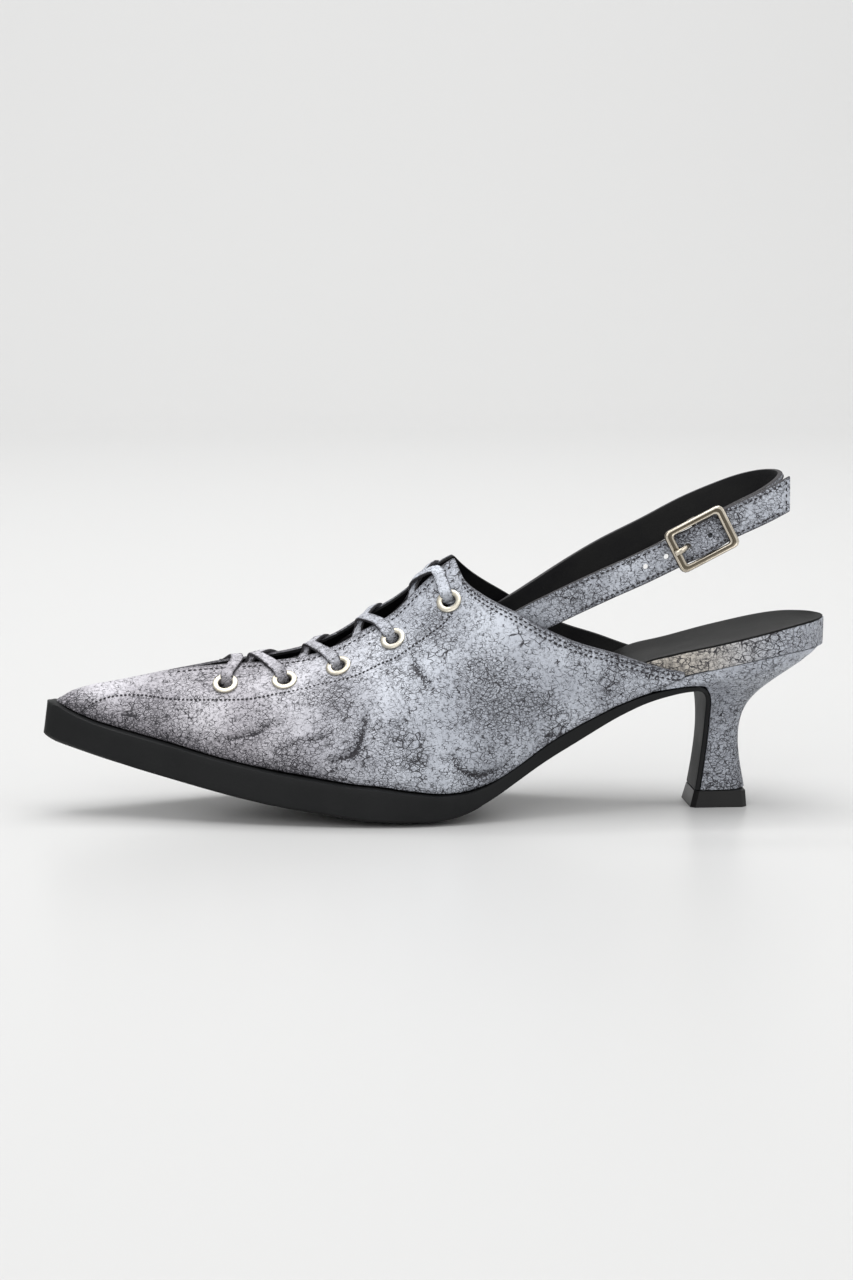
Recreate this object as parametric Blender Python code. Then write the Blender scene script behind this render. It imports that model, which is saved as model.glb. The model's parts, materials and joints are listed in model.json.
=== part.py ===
"""Left slingback court shoe with laced throat, kitten heel and buckled ankle strap.

Row frame: origin at the centre of the top piece's underside, on the floor.
Toe points along -X, the outer (lateral) side faces -Y, +Z is up. Units are metres.
"""
import bpy
import bmesh
import math
from mathutils import Matrix, Vector

MM = 0.001

# Driving dimensions of the last and sole
SHOE_LENGTH = 260.0 * MM
SEAT_OVERHANG = 36.1 * MM
BALL_WIDTH = 75.5 * MM
TOE_SPRING = 27.0 * MM
SOLE_THICKNESS = 12.4 * MM
SOLE_CROWN = 1.6 * MM
LEDGE_DROP = 0.9 * MM
SOLE_CHAMFER = 0.9 * MM
LEDGE_LEAST = 0.5 * MM
INSTEP_HEIGHT = 84.2 * MM
SEAM_HEIGHT = 53.6 * MM
RIM_RISE = 9.8 * MM
GAP = 0.3 * MM

# Walls and layers
UPPER_WALL = 1.5 * MM
INSOLE_THICKNESS = 1.8 * MM
INSOLE_CUP = 1.6 * MM
FLAP_THICKNESS = 1.6 * MM

# Heel and top piece
TOP_PIECE_LENGTH = 19.0 * MM
TOP_PIECE_WIDTH = 21.5 * MM
TOP_PIECE_HEIGHT = 5.4 * MM
TOP_PIECE_TAPER = 0.91
TOP_PIECE_SET = 0.6 * MM
TOP_PIECE_CORNER = 1.6 * MM
BREAST_X = -5.0 * MM
BREAST_RADIUS = 4.6 * MM
HEEL_WIDTH = 17.4 * MM
HEEL_NECK = 12.4 * MM

# Straps and buckle
STRAP_WIDTH = 10.3 * MM
STRAP_THICKNESS = 1.8 * MM
BUCKLE_LENGTH = 21.4 * MM
BUCKLE_HEIGHT = 14.9 * MM
END_BAR = 2.7 * MM
SIDE_BAR = 2.0 * MM
FRAME_DEPTH = 1.8 * MM
FRAME_CORNER = 2.0 * MM
BAR_RADIUS = 0.7 * MM
BAR_SINK = 2.6 * MM
FOLD_THICKNESS = 0.7 * MM
FOLD_SET = 0.2 * MM
PRONG_WIDTH = 1.8 * MM
PRONG_THICKNESS = 1.2 * MM
PRONG_HOLE = -0.24
PRONG_CLIMB = 2.4 * MM
PRONG_SHORT = 0.6 * MM
LUG_LENGTH = 2.6 * MM
LUG_SET = 0.2 * MM
HOLE_PITCH = 7.6 * MM
HOLE_RADIUS = 0.9 * MM

# Eyelets and laces
EYELET_RADIUS = 4.2 * MM
EYELET_BORE = 2.5 * MM
EYELET_BARREL = 2.85 * MM
EYELET_SETBACK = 13.0 * MM
EYELET_HEIGHT = 0.9 * MM
EYELET_ROLL = 0.2 * MM
EYELET_FOOT = 0.5 * MM
CUT_REACH = 8.0 * MM
LACE_WIDTH = 3.6 * MM
LACE_THICKNESS = 1.2 * MM
LACE_LIFT = 0.55 * MM
LACE_CLEAR = 1.7 * MM

EYELET_SIDES = 14
SECTION_STEPS = 8
TIP_X = SEAT_OVERHANG - SHOE_LENGTH
ARCH_RISE = 0.735 * SEAM_HEIGHT
RIM_HEIGHT = SEAM_HEIGHT + RIM_RISE


class Table:
    """Rows of shares with named columns, read with a monotone cubic along the first column."""

    def __init__(self, columns, rows):
        self.columns = columns
        self.rows = rows

    def at(self, column, share):
        k = self.columns.index(column)
        xs = [row[0] for row in self.rows]
        ys = [row[k] for row in self.rows]
        share = min(max(share, xs[0]), xs[-1])
        steps = [xs[i + 1] - xs[i] for i in range(len(xs) - 1)]
        grades = [(ys[i + 1] - ys[i]) / steps[i] for i in range(len(steps))]
        slopes = [grades[0]]
        for before, after in zip(grades, grades[1:]):
            slopes.append(0.0 if before * after <= 0 else 2.0 * before * after / (before + after))
        slopes.append(grades[-1])
        i = 0
        while i < len(steps) - 1 and xs[i + 1] < share:
            i += 1
        t = (share - xs[i]) / steps[i]
        rise = (2 * t**3 - 3 * t**2 + 1) * ys[i] + (3 * t**2 - 2 * t**3) * ys[i + 1]
        bend = (t**3 - 2 * t**2 + t) * slopes[i] + (t**3 - t**2) * slopes[i + 1]
        return rise + steps[i] * bend


# Outsole: half widths as shares of the ball width; spring and rise as shares of the toe spring
# and arch rise; crown and thick as shares of the sole crown and sole thickness
OUTSOLE = Table(("s", "lateral", "medial", "spring", "rise", "crown", "thick"), [
    (0.0000, 0.042, 0.042, 1.000, 0.000, 0.30, 0.90),
    (0.0038, 0.065, 0.065, 0.963, 0.000, 0.35, 0.98),
    (0.0131, 0.085, 0.085, 0.911, 0.000, 0.45, 1.08),
    (0.0354, 0.117, 0.117, 0.833, 0.000, 0.50, 1.01),
    (0.0612, 0.151, 0.152, 0.752, 0.000, 0.50, 0.96),
    (0.0958, 0.197, 0.201, 0.652, 0.000, 0.55, 0.98),
    (0.1612, 0.273, 0.286, 0.481, 0.000, 0.65, 1.01),
    (0.2231, 0.347, 0.370, 0.326, 0.000, 0.75, 1.00),
    (0.2865, 0.413, 0.441, 0.196, 0.000, 0.75, 1.01),
    (0.3281, 0.450, 0.474, 0.130, 0.000, 0.90, 1.02),
    (0.3688, 0.479, 0.491, 0.063, 0.000, 1.00, 1.02),
    (0.4073, 0.497, 0.493, 0.000, 0.000, 1.15, 1.07),
    (0.4458, 0.506, 0.479, 0.000, 0.000, 1.00, 0.95),
    (0.4842, 0.495, 0.454, 0.000, 0.000, 0.95, 0.84),
    (0.5092, 0.475, 0.432, 0.000, 0.018, 0.95, 0.77),
    (0.5335, 0.456, 0.408, 0.000, 0.066, 1.00, 0.68),
    (0.5688, 0.419, 0.374, 0.000, 0.183, 1.00, 0.57),
    (0.5958, 0.396, 0.350, 0.000, 0.305, 0.95, 0.53),
    (0.6327, 0.367, 0.323, 0.000, 0.462, 0.95, 0.58),
    (0.6742, 0.338, 0.303, 0.000, 0.617, 0.85, 0.55),
    (0.7185, 0.317, 0.291, 0.000, 0.792, 0.80, 0.43),
    (0.7558, 0.303, 0.283, 0.000, 0.920, 0.60, 0.31),
    (0.7854, 0.294, 0.278, 0.000, 0.980, 0.45, 0.23),
    (0.8073, 0.281, 0.270, 0.000, 1.015, 0.30, 0.18),
])

# Upper's last: feather half widths and half width at the section's top as shares of the ball width;
# top as a share of the instep height; lean and slope of the section's ends in degrees. Behind the
# collar's corner the section goes on above the topline, which cuts it
UPPER = Table(("s", "lateral", "medial", "gap", "top", "lean", "slope"), [
    (0.0177, 0.034, 0.034, 0.000, 0.450, 0, 0),
    (0.0250, 0.056, 0.056, 0.000, 0.462, 4, 2),
    (0.0354, 0.074, 0.075, 0.000, 0.482, 6, 4),
    (0.0612, 0.109, 0.111, 0.000, 0.506, 8, 6),
    (0.0958, 0.152, 0.158, 0.000, 0.525, 10, 8),
    (0.1304, 0.193, 0.204, 0.000, 0.545, 10, 10),
    (0.1612, 0.229, 0.244, 0.000, 0.563, 10, 12),
    (0.1965, 0.273, 0.291, 0.011, 0.577, 10, 14),
    (0.2231, 0.305, 0.326, 0.021, 0.586, 10, 15),
    (0.2573, 0.340, 0.367, 0.029, 0.594, 10, 16),
    (0.2865, 0.368, 0.396, 0.034, 0.603, 11, 18),
    (0.3281, 0.405, 0.429, 0.041, 0.622, 12, 20),
    (0.3688, 0.434, 0.450, 0.046, 0.665, 13, 24),
    (0.4073, 0.454, 0.453, 0.052, 0.732, 14, 30),
    (0.4458, 0.468, 0.442, 0.056, 0.803, 14, 37),
    (0.4842, 0.464, 0.423, 0.058, 0.909, 14, 44),
    (0.5092, 0.450, 0.405, 0.061, 0.976, 13, 49),
    (0.5219, 0.442, 0.397, 0.064, 1.000, 13, 50),
    (0.5335, 0.436, 0.389, 0.074, 1.021, 13, 51),
    (0.5496, 0.426, 0.377, 0.100, 1.039, 13, 54),
    (0.5688, 0.416, 0.366, 0.150, 1.051, 13, 59),
    (0.5958, 0.398, 0.352, 0.215, 1.033, 13, 68),
    (0.6327, 0.374, 0.334, 0.285, 0.974, 11, 79),
    (0.6742, 0.346, 0.315, 0.325, 0.879, 9, 86),
    (0.7185, 0.323, 0.300, 0.330, 0.772, 7, 89),
    (0.7558, 0.307, 0.287, 0.321, 0.689, 5, 92),
    (0.7854, 0.301, 0.286, 0.310, 0.641, 4, 91),
    (0.8073, 0.297, 0.286, 0.302, 0.618, 3, 90),
])
THROAT_END = 0.1612
TOE_WALL = 0.08
MEDIAL_PINCH = 0.96
COLLAR_CORNER = 0.5219

# Eyelets: place along the shoe and share of the set back from the facing edge
EYELETS = Table(("s", "setback"), [
    (0.2296, 0.92),
    (0.3038, 1.00),
    (0.3719, 1.00),
    (0.4408, 1.00),
    (0.5119, 1.18),
])

# Topline behind the collar's corner, as a share of the instep height
TOPLINE = Table(("s", "height"), [
    (0.5219, 1.000),
    (0.5269, 0.957),
    (0.5335, 0.914),
    (0.5496, 0.875),
    (0.5688, 0.842),
    (0.5958, 0.802),
    (0.6327, 0.739),
    (0.6742, 0.684),
    (0.7185, 0.643),
    (0.7558, 0.602),
    (0.7854, 0.575),
    (0.8073, 0.561),
])

# Heel seat: seam and rim heights as shares of the seam and rim heights at the back,
# half widths as shares of the ball width
SEAT = Table(("s", "seam", "rim", "lateral", "medial"), [
    (0.7654, 0.765, 0.810, 0.298, 0.281),
    (0.7727, 0.784, 0.819, 0.297, 0.281),
    (0.7958, 0.819, 0.841, 0.294, 0.283),
    (0.8112, 0.858, 0.855, 0.294, 0.286),
    (0.8558, 0.901, 0.896, 0.299, 0.295),
    (0.8946, 0.944, 0.931, 0.299, 0.299),
    (0.9338, 0.976, 0.967, 0.275, 0.275),
    (0.9612, 0.993, 0.987, 0.228, 0.228),
    (0.9804, 0.998, 0.995, 0.167, 0.167),
    (0.9935, 1.000, 1.000, 0.095, 0.095),
    (1.0000, 1.000, 1.000, 0.034, 0.034),
])
HEEL_FRONT = SEAT.rows[0][0]
SEAT_OPEN = 0.85

# Insole ahead of the seat: how much of the seat band's height has been gained over the outsole
WEDGE = Table(("s", "share"), [
    (0.5730, 0.00),
    (0.6227, 0.16),
    (0.6688, 0.42),
    (0.7035, 0.70),
    (0.7558, 1.00),
])
SEAT_BAND = 8.6 * MM
SEAT_SHARES = (0.8200, 0.8325, 0.8558, 0.8750, 0.8946, 0.9150, 0.9338, 0.9500, 0.9612, 0.9720,
               0.9804, 0.9870, 0.9935, 1.0)
ACROSS = (-1.0, -0.66, -0.3, 0.3, 0.66, 1.0)

# Heel levels: back x and z as shares of the seat overhang and seam height, side width as a share
# of the heel width
HEEL_LEVELS = Table(("level", "back_x", "back_z", "width"), [
    (0, 0.258, 0.106, 1.06),
    (1, 0.250, 0.187, 0.98),
    (2, 0.225, 0.330, 0.94),
    (3, 0.220, 0.430, 0.96),
    (4, 0.238, 0.530, 1.06),
    (5, 0.305, 0.640, 1.34),
    (6, 0.430, 0.740, 1.76),
    (7, 0.640, 0.850, 2.16),
    (8, 0.850, 0.940, 2.42),
    (9, 0.965, 1.000, 2.56),
])

# Flap over the breast: height share of the breast's top, set back share of the heel neck,
# half width as a share of the heel width
FLAP = Table(("down", "setback", "half"), [
    (0.00, 0.000, 0.76),
    (0.17, 0.000, 0.58),
    (0.35, -0.015, 0.515),
    (0.55, -0.065, 0.49),
    (0.79, -0.145, 0.50),
    (1.00, -0.230, 0.535),
])
FLAP_TOP = 0.675 * SEAM_HEIGHT
FLAP_FOOT = TOP_PIECE_HEIGHT + GAP

# Strap centre lines: share of the length, side as a share of the ball width, height as a share
# of the instep height. Near the buckle they are offsets from its centre, as shares of its length
BUCKLE_STRAP_ROUTE = [
    (0.5862, -0.283, 0.727),
    (0.6138, -0.299, 0.777),
    (0.6381, -0.313, 0.819),
    (0.6688, -0.328, 0.866),
]
BUCKLE_PLACE = (0.8231, -0.397, 1.096)
BUCKLE_TILT = math.radians(27.0)
BUCKLE_YAW = math.radians(1.5)
HIDDEN_POINTS = 4
BUCKLE_STRAP_APPROACH = [
    (-1.374, 0.182, -0.668),
    (-0.939, 0.140, -0.472),
]
FREE_END_ROUTE = [
    (0.953, 0.154, 0.449),
    (1.379, 0.271, 0.650),
]
SLING_ROUTE = [
    (0.5862, 0.273, 0.708),
    (0.6131, 0.287, 0.762),
    (0.6742, 0.317, 0.872),
    (0.7296, 0.332, 0.970),
    (0.7854, 0.326, 1.056),
    (0.8385, 0.297, 1.145),
    (0.8912, 0.230, 1.220),
    (0.9212, 0.143, 1.255),
    (0.9381, 0.040, 1.266),
    (0.9388, -0.066, 1.261),
    (0.9250, -0.180, 1.242),
]
SLING_APPROACH = [
    (0.967, 0.467, 0.453),
    (0.678, 0.308, 0.332),
]


# Stations that the long lofts share, so that neighbours keep their gap between sections
EXTRA_STATIONS = {0.0780, 0.1788, 0.3073, 0.3485, 0.3881, 0.4266, 0.4650, 0.4967, 0.6142, 0.6535}
STATIONS = sorted({row[0] for row in UPPER.rows} | {row[0] for row in TOPLINE.rows} | EXTRA_STATIONS)


def x_at(share):
    return TIP_X + share * SHOE_LENGTH


def share_at(x):
    return (x - TIP_X) / SHOE_LENGTH


def strap_place(share, side, height):
    return Vector((x_at(share), side * BALL_WIDTH, height * INSTEP_HEIGHT))


def near_buckle(offsets):
    return [strap_place(*BUCKLE_PLACE) + Vector(offset) * BUCKLE_LENGTH for offset in offsets]


def sole_bottom(share):
    return OUTSOLE.at("spring", share) * TOE_SPRING + OUTSOLE.at("rise", share) * ARCH_RISE


def sole_top(share):
    return sole_bottom(share) + OUTSOLE.at("thick", share) * SOLE_THICKNESS


def half_width(table, share, side):
    return table.at("medial" if side > 0 else "lateral", share) * BALL_WIDTH


def seam_height(share):
    """Height of the line that the quarter's edge and the seat band rest on."""
    if share < HEEL_FRONT:
        return sole_top(share)
    return SEAT.at("seam", share) * SEAM_HEIGHT


def rest_height(share):
    """Height that carries the upper's lower edge."""
    return seam_height(share) + GAP


def finish(name, verts, faces, material, smooth=True):
    mesh = bpy.data.meshes.new(name)
    mesh.from_pydata([tuple(v) for v in verts], [], faces)
    mesh.validate()
    bm = bmesh.new()
    bm.from_mesh(mesh)
    bmesh.ops.triangulate(bm, faces=bm.faces[:])
    bmesh.ops.recalc_face_normals(bm, faces=bm.faces[:])
    bm.to_mesh(mesh)
    bm.free()
    obj = bpy.data.objects.new(name, mesh)
    shoe.objects.link(obj)
    obj.data.materials.append(material)
    if smooth:
        mesh.shade_smooth()
        mesh.set_sharp_from_angle(angle=math.radians(40))
    return obj


def material(name, colour, roughness, metallic=0.0):
    made = bpy.data.materials.new(name)
    made.use_nodes = True
    shader = made.node_tree.nodes["Principled BSDF"]
    shader.inputs["Base Color"].default_value = (*colour, 1.0)
    shader.inputs["Roughness"].default_value = roughness
    shader.inputs["Metallic"].default_value = metallic
    return made


def loft(name, rings, mat, pairs=False):
    """Closed solid through rings of equal length; pairs caps it with strips across each ring."""
    count = len(rings[0])
    verts = [v for ring in rings for v in ring]
    faces = []
    for r in range(len(rings) - 1):
        for i in range(count):
            j = (i + 1) % count
            faces.append((r * count + i, r * count + j, (r + 1) * count + j, (r + 1) * count + i))
    for start, flip in ((0, True), ((len(rings) - 1) * count, False)):
        if pairs:
            caps = [(start + i, start + i + 1, start + count - 2 - i, start + count - 1 - i)
                    for i in range(count // 2 - 1)]
        else:
            caps = [tuple(start + i for i in range(count))]
        faces.extend(tuple(reversed(cap)) if flip else cap for cap in caps)
    return finish(name, verts, faces, mat)


def cutter(obj):
    for owner in obj.users_collection:
        owner.objects.unlink(obj)
    cutters.objects.link(obj)
    obj.hide_render = True
    obj.display_type = "WIRE"
    return obj


def boolean(target, tool, operation="DIFFERENCE"):
    change = target.modifiers.new(tool.name, "BOOLEAN")
    change.object = tool
    change.operation = operation
    return change


def cylinder(name, radius, length, place, axis, sides=16):
    bpy.ops.mesh.primitive_cylinder_add(vertices=sides, radius=radius, depth=length)
    obj = bpy.context.object
    obj.name = name
    obj.matrix_world = Matrix.Translation(place) @ axis.to_track_quat("Z", "Y").to_matrix().to_4x4()
    return obj


def section_curve(share, side, inner=False):
    """Four handles of the upper's half section, from the feather edge to its top edge."""
    wall = UPPER_WALL if inner else 0.0
    front = max(0.0, 1.0 - (share - UPPER.rows[0][0]) / TOE_WALL)
    place = share + wall * front / SHOE_LENGTH
    low = Vector((side * (half_width(UPPER, share, side) - wall), rest_height(place)))
    lean = math.radians(UPPER.at("lean", share))
    slope = math.radians(UPPER.at("slope", share))
    gap = UPPER.at("gap", share) * BALL_WIDTH
    side_pinch = 1.0 if side < 0 else MEDIAL_PINCH
    top = max(UPPER.at("top", share) * INSTEP_HEIGHT, rest_height(share))
    first = share <= UPPER.rows[0][0]
    high = Vector((side * gap * side_pinch, top))
    if first:
        high = Vector((0.0, rest_height(place)))
    elif gap == 0.0:
        high.y = max(top - wall, rest_height(place))
    else:
        high -= wall * Vector((side * math.sin(slope), math.cos(slope)))
    reach = (high - low).length
    start = low + 0.34 * reach * Vector((side * math.sin(lean), math.cos(lean)))
    if first:
        start = low.lerp(high, 0.34)
        end = low.lerp(high, 0.66)
    else:
        end = high + 0.36 * reach * Vector((side * math.cos(slope), -math.sin(slope)))
    return x_at(place), low, start, end, high


def topline_height(share):
    if share <= COLLAR_CORNER:
        return UPPER.at("top", share) * INSTEP_HEIGHT
    return TOPLINE.at("height", share) * INSTEP_HEIGHT


def topline_place(share, side, inner=False):
    """Where along the section's curve the topline cuts it, 0 to 1."""
    if share <= COLLAR_CORNER:
        return 1.0
    low, high = 0.0, 1.0
    for _ in range(30):
        t = 0.5 * (low + high)
        if section_point(share, side, t, inner).z < topline_height(share):
            low = t
        else:
            high = t
    return low


def section_point(share, side, t, inner=False):
    x, low, start, end, high = section_curve(share, side, inner)
    u = 1.0 - t
    spot = u**3 * low + 3 * u * u * t * start + 3 * u * t * t * end + t**3 * high
    return Vector((x, spot.x, spot.y))


def surface_frame(share, side, setback):
    """Point and outward normal on the upper, a distance down from its top edge."""
    walked, t = 0.0, 1.0
    last = section_point(share, side, t)
    while walked < setback and t > 0.0:
        t -= 0.01
        spot = section_point(share, side, t)
        walked += (spot - last).length
        last = spot
    along = section_point(share + 0.004, side, t) - section_point(share - 0.004, side, t)
    up = section_point(share, side, t + 0.01) - section_point(share, side, t - 0.01)
    normal = along.cross(up).normalized()
    if normal.z < 0:
        normal.negate()
    return last, normal


def inner_half(share, side, height):
    """Least half width of the room inside the upper, up to a height."""
    best = half_width(UPPER, share, side) - UPPER_WALL
    for k in range(1, 61):
        spot = section_point(share, side, k / 60.0, inner=True)
        best = min(best, abs(spot.y))
        if spot.z >= height:
            break
    return best


def build_outsole(mat):
    rings = []
    tip = [row[0] for row in OUTSOLE.rows if row[0] < STATIONS[0]]
    for share in tip + STATIONS:
        bottom, top = sole_bottom(share), sole_top(share)
        crown = OUTSOLE.at("crown", share) * SOLE_CROWN
        left, right = half_width(OUTSOLE, share, -1), half_width(OUTSOLE, share, 1)
        feather = [min(half_width(UPPER, share, side), half - LEDGE_LEAST)
                   for side, half in ((-1, left), (1, right))]
        if share < UPPER.rows[0][0]:
            feather = [0.6 * left, 0.6 * right]
        drop = LEDGE_DROP * min(1.0, OUTSOLE.at("thick", share))
        ring = [(-left, top - drop), (-feather[0], top), (0.0, top), (feather[1], top),
                (right, top - drop)]
        chamfer = SOLE_CHAMFER * min(1.0, OUTSOLE.at("thick", share))
        ring += [(right, bottom + crown + chamfer), (right - chamfer, bottom + crown),
                 (0.66 * right, bottom + 0.3 * crown), (0.3 * right, bottom), (-0.3 * left, bottom),
                 (-0.66 * left, bottom + 0.3 * crown),
                 (-left + chamfer, bottom + crown), (-left, bottom + crown + chamfer)]
        rings.append([Vector((x_at(share), y, z)) for y, z in ring])
    for spot, inward, half in flap_path():
        thick = FLAP_THICKNESS
        edge = 0.2 * thick
        ring = [(-half, thick - edge), (-half + edge, thick), (0.0, thick), (half - edge, thick),
                (half, thick - edge)]
        ring += [(half, edge), (half - edge, 0.0), (0.66 * half, 0.0), (0.3 * half, 0.0), (-0.3 * half, 0.0),
                 (-0.66 * half, 0.0), (-half + edge, 0.0), (-half, edge)]
        rings.append([spot + Vector((0.0, y, 0.0)) + inward * n for y, n in ring])
    return loft("outsole", rings, mat)


def flap_path():
    """Outer face of the outsole's turn into the breast and down the heel: place, inward, half width."""
    stops = []
    centre = Vector((BREAST_X - BREAST_RADIUS, 0.0, FLAP_TOP))
    wide = 0.5 * (half_width(OUTSOLE, STATIONS[-1], -1) + half_width(OUTSOLE, STATIONS[-1], 1))
    top_half = FLAP.at("half", 0.0) * HEEL_WIDTH
    for turn in (80, 55, 30):
        angle = math.radians(turn)
        outward = Vector((math.cos(angle), 0.0, math.sin(angle)))
        half = top_half + (wide - top_half) * (turn / 90.0) ** 1.5
        stops.append((centre + BREAST_RADIUS * outward, outward, half))
    for down, _, _ in FLAP.rows:
        x = BREAST_X + FLAP.at("setback", down) * HEEL_NECK
        z = FLAP_TOP + (FLAP_FOOT - FLAP_TOP) * down
        stops.append((Vector((x, 0.0, z)), Vector((1.0, 0.0, 0.0)), FLAP.at("half", down) * HEEL_WIDTH))
    return stops


def build_heel(mat):
    """Covered heel: levels fan from the breast, over the flap's turn, to the seat seam."""
    fronts = [(spot + inward * (FLAP_THICKNESS + GAP), half) for spot, inward, half in reversed(flap_path())]
    for share in (STATIONS[-1], STATIONS[-2], HEEL_FRONT):
        half = 0.5 * (half_width(SEAT, share, -1) + half_width(SEAT, share, 1))
        fronts.append((Vector((x_at(share), 0.0, sole_top(share) + GAP)), half))
    top_front = fronts[-1][0]
    spread = (0.0, 0.08, 0.2, 0.36, 0.54, 0.72, 0.86, 0.95, 1.0)
    rings = []
    last = len(fronts)
    for level in range(last + 1):
        grade = HEEL_LEVELS.rows[-1][0] * level / last
        back = Vector((HEEL_LEVELS.at("back_x", grade) * SEAT_OVERHANG, 0.0,
                       HEEL_LEVELS.at("back_z", grade) * SEAM_HEIGHT))
        front, front_half = fronts[min(level, last - 1)]
        blend = max(0.0, (level / last - 0.5) / 0.5)
        side = []
        for u in spread:
            x = front.x + (back.x - front.x) * u
            z = front.z + (back.z - front.z) * u
            if level == last:
                z = seam_height(share_at(x)) if u < 1.0 else back.z
            width = 0.5 * HEEL_LEVELS.at("width", grade) * HEEL_WIDTH
            body = front_half + (width - front_half) * min(1.0, 3.0 * u)
            neck = body * max(0.0, 1.0 - max(0.0, (u - 0.3) / 0.7) ** 2.4) ** 0.55
            seat = 0.5 * (half_width(SEAT, share_at(x), -1) + half_width(SEAT, share_at(x), 1)) - GAP
            seat *= 1.0 if u < 1.0 else 0.6
            half = neck + (min(seat, 3 * width) - neck) * blend**1.5
            side.append((x, max(half, 0.0), z))
        ring = [Vector((x, -half, z)) for x, half, z in side]
        ring += [Vector((x, half, z)) for x, half, z in reversed(side)]
        rings.append(ring)
    return loft("heel", rings, mat, pairs=True)


def build_top_piece(mat):
    low_x, low_y = 0.5 * TOP_PIECE_LENGTH, 0.5 * TOP_PIECE_WIDTH
    high_x, high_y = TOP_PIECE_TAPER * low_x, TOP_PIECE_TAPER * low_y
    rings = []
    for x, y, z, dx in ((low_x, low_y, 0.0, 0.0), (high_x, high_y, TOP_PIECE_HEIGHT, TOP_PIECE_SET)):
        ring = []
        for sx, sy in ((-1, -1), (1, -1), (1, 1), (-1, 1)):
            cuts = [(sx * x, sy * (y - TOP_PIECE_CORNER)), (sx * (x - TOP_PIECE_CORNER), sy * y)]
            if sx * sy < 0:
                cuts.reverse()
            ring += [Vector((px + dx, py, z)) for px, py in cuts]
        rings.append(ring)
    return loft("top_piece", rings, mat)


def insole_edge(share, side):
    """Half width of the insole and seat band at a share of the length."""
    rim = insole_rim(share)
    if share >= SEAT_OPEN:
        return half_width(SEAT, share, side)
    walled = min(share, STATIONS[-1])
    inside = inner_half(walled, side, min(rim, topline_height(walled))) - 2.0 * GAP
    if share <= STATIONS[-1]:
        return inside
    grade = (share - STATIONS[-1]) / (SEAT_OPEN - STATIONS[-1])
    return inside + (half_width(SEAT, SEAT_OPEN, side) - inside) * grade


def insole_rim(share):
    """Height of the insole's upper edge."""
    if share >= WEDGE.rows[-1][0]:
        return SEAT.at("rim", share) * RIM_HEIGHT
    return sole_top(share) + GAP + INSOLE_THICKNESS + WEDGE.at("share", share) * SEAT_BAND


def cupped(share, place):
    """Drop below the rim at a place across, -1 to 1, growing towards the seat."""
    depth = INSOLE_CUP * min(1.0, max(0.0, (share - 0.62) / 0.12)) * min(1.0, (1.0 - share) / 0.02)
    return depth * (1.0 - place * place)


def build_seat_wrap(mat):
    rings = []
    hidden = [share for share in STATIONS if share > 0.61]
    for share in hidden + list(SEAT_SHARES):
        left, right = insole_edge(share, -1), insole_edge(share, 1)
        rim = insole_rim(share) - INSOLE_THICKNESS - GAP
        base = seam_height(share) + GAP
        ring = [(-left, base), (right, base)]
        for place in reversed(ACROSS):
            ring.append((place * (right if place > 0 else left), rim - cupped(share, place)))
        rings.append([Vector((x_at(share), y, z)) for y, z in ring])
    return loft("seat_wrap", rings, mat)


def build_insole(mat):
    fore = [share for share in STATIONS if share > 0.06]
    rings = []
    for share in fore + list(SEAT_SHARES):
        left, right = insole_edge(share, -1), insole_edge(share, 1)
        rim = insole_rim(share)
        top = [(place * (right if place > 0 else left), rim - cupped(share, place)) for place in ACROSS]
        under = [(y, z - INSOLE_THICKNESS) for y, z in reversed(top)]
        rings.append([Vector((x_at(share), y, z)) for y, z in top + under])
    return loft("insole", rings, mat)


def sheet_solid(name, outer, inner, quads, mat):
    """Closed wall between two sheets of the same quads."""
    count = len(outer)
    edges = {}
    for quad in quads:
        for a, b in zip(quad, quad[1:] + quad[:1]):
            edges[(a, b)] = edges.get((a, b), 0) + 1
    faces = [tuple(quad) for quad in quads]
    faces += [tuple(count + i for i in reversed(quad)) for quad in quads]
    for a, b in edges:
        if (b, a) not in edges:
            faces.append((b, a, count + a, count + b))
    return finish(name, outer + inner, faces, mat)


def build_upper(mat):
    """Vamp and quarters: one wall, closed over the toe, split at the throat, open behind."""
    outer, inner, quads = [], [], []
    index = {}

    def vertex(row, side, step):
        share = STATIONS[row]
        shared = step == SECTION_STEPS and share <= THROAT_END
        key = (row, 0 if shared else side, step)
        if key not in index:
            index[key] = len(outer)
            for sheet, inside in ((outer, False), (inner, True)):
                place = topline_place(share, side, inside) * step / SECTION_STEPS
                sheet.append(section_point(share, side, place, inside))
        return index[key]

    for row in range(len(STATIONS) - 1):
        for side in (-1, 1):
            for step in range(SECTION_STEPS):
                quad = [vertex(row, side, step), vertex(row + 1, side, step),
                        vertex(row + 1, side, step + 1), vertex(row, side, step + 1)]
                quads.append(quad if side < 0 else quad[::-1])
    upper = sheet_solid("upper", outer, inner, quads, mat)
    for number, side, spot, normal in eyelet_places():
        tool = cutter(cylinder(f"eyelet_cut_{number}_{side}", EYELET_BARREL + GAP, CUT_REACH, spot, normal))
        boolean(upper, tool)
    return upper


def eyelet_places():
    for number, (share, setback) in enumerate(EYELETS.rows, 1):
        for side in (-1, 1):
            yield (number, side, *surface_frame(share, side, setback * EYELET_SETBACK))


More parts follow.
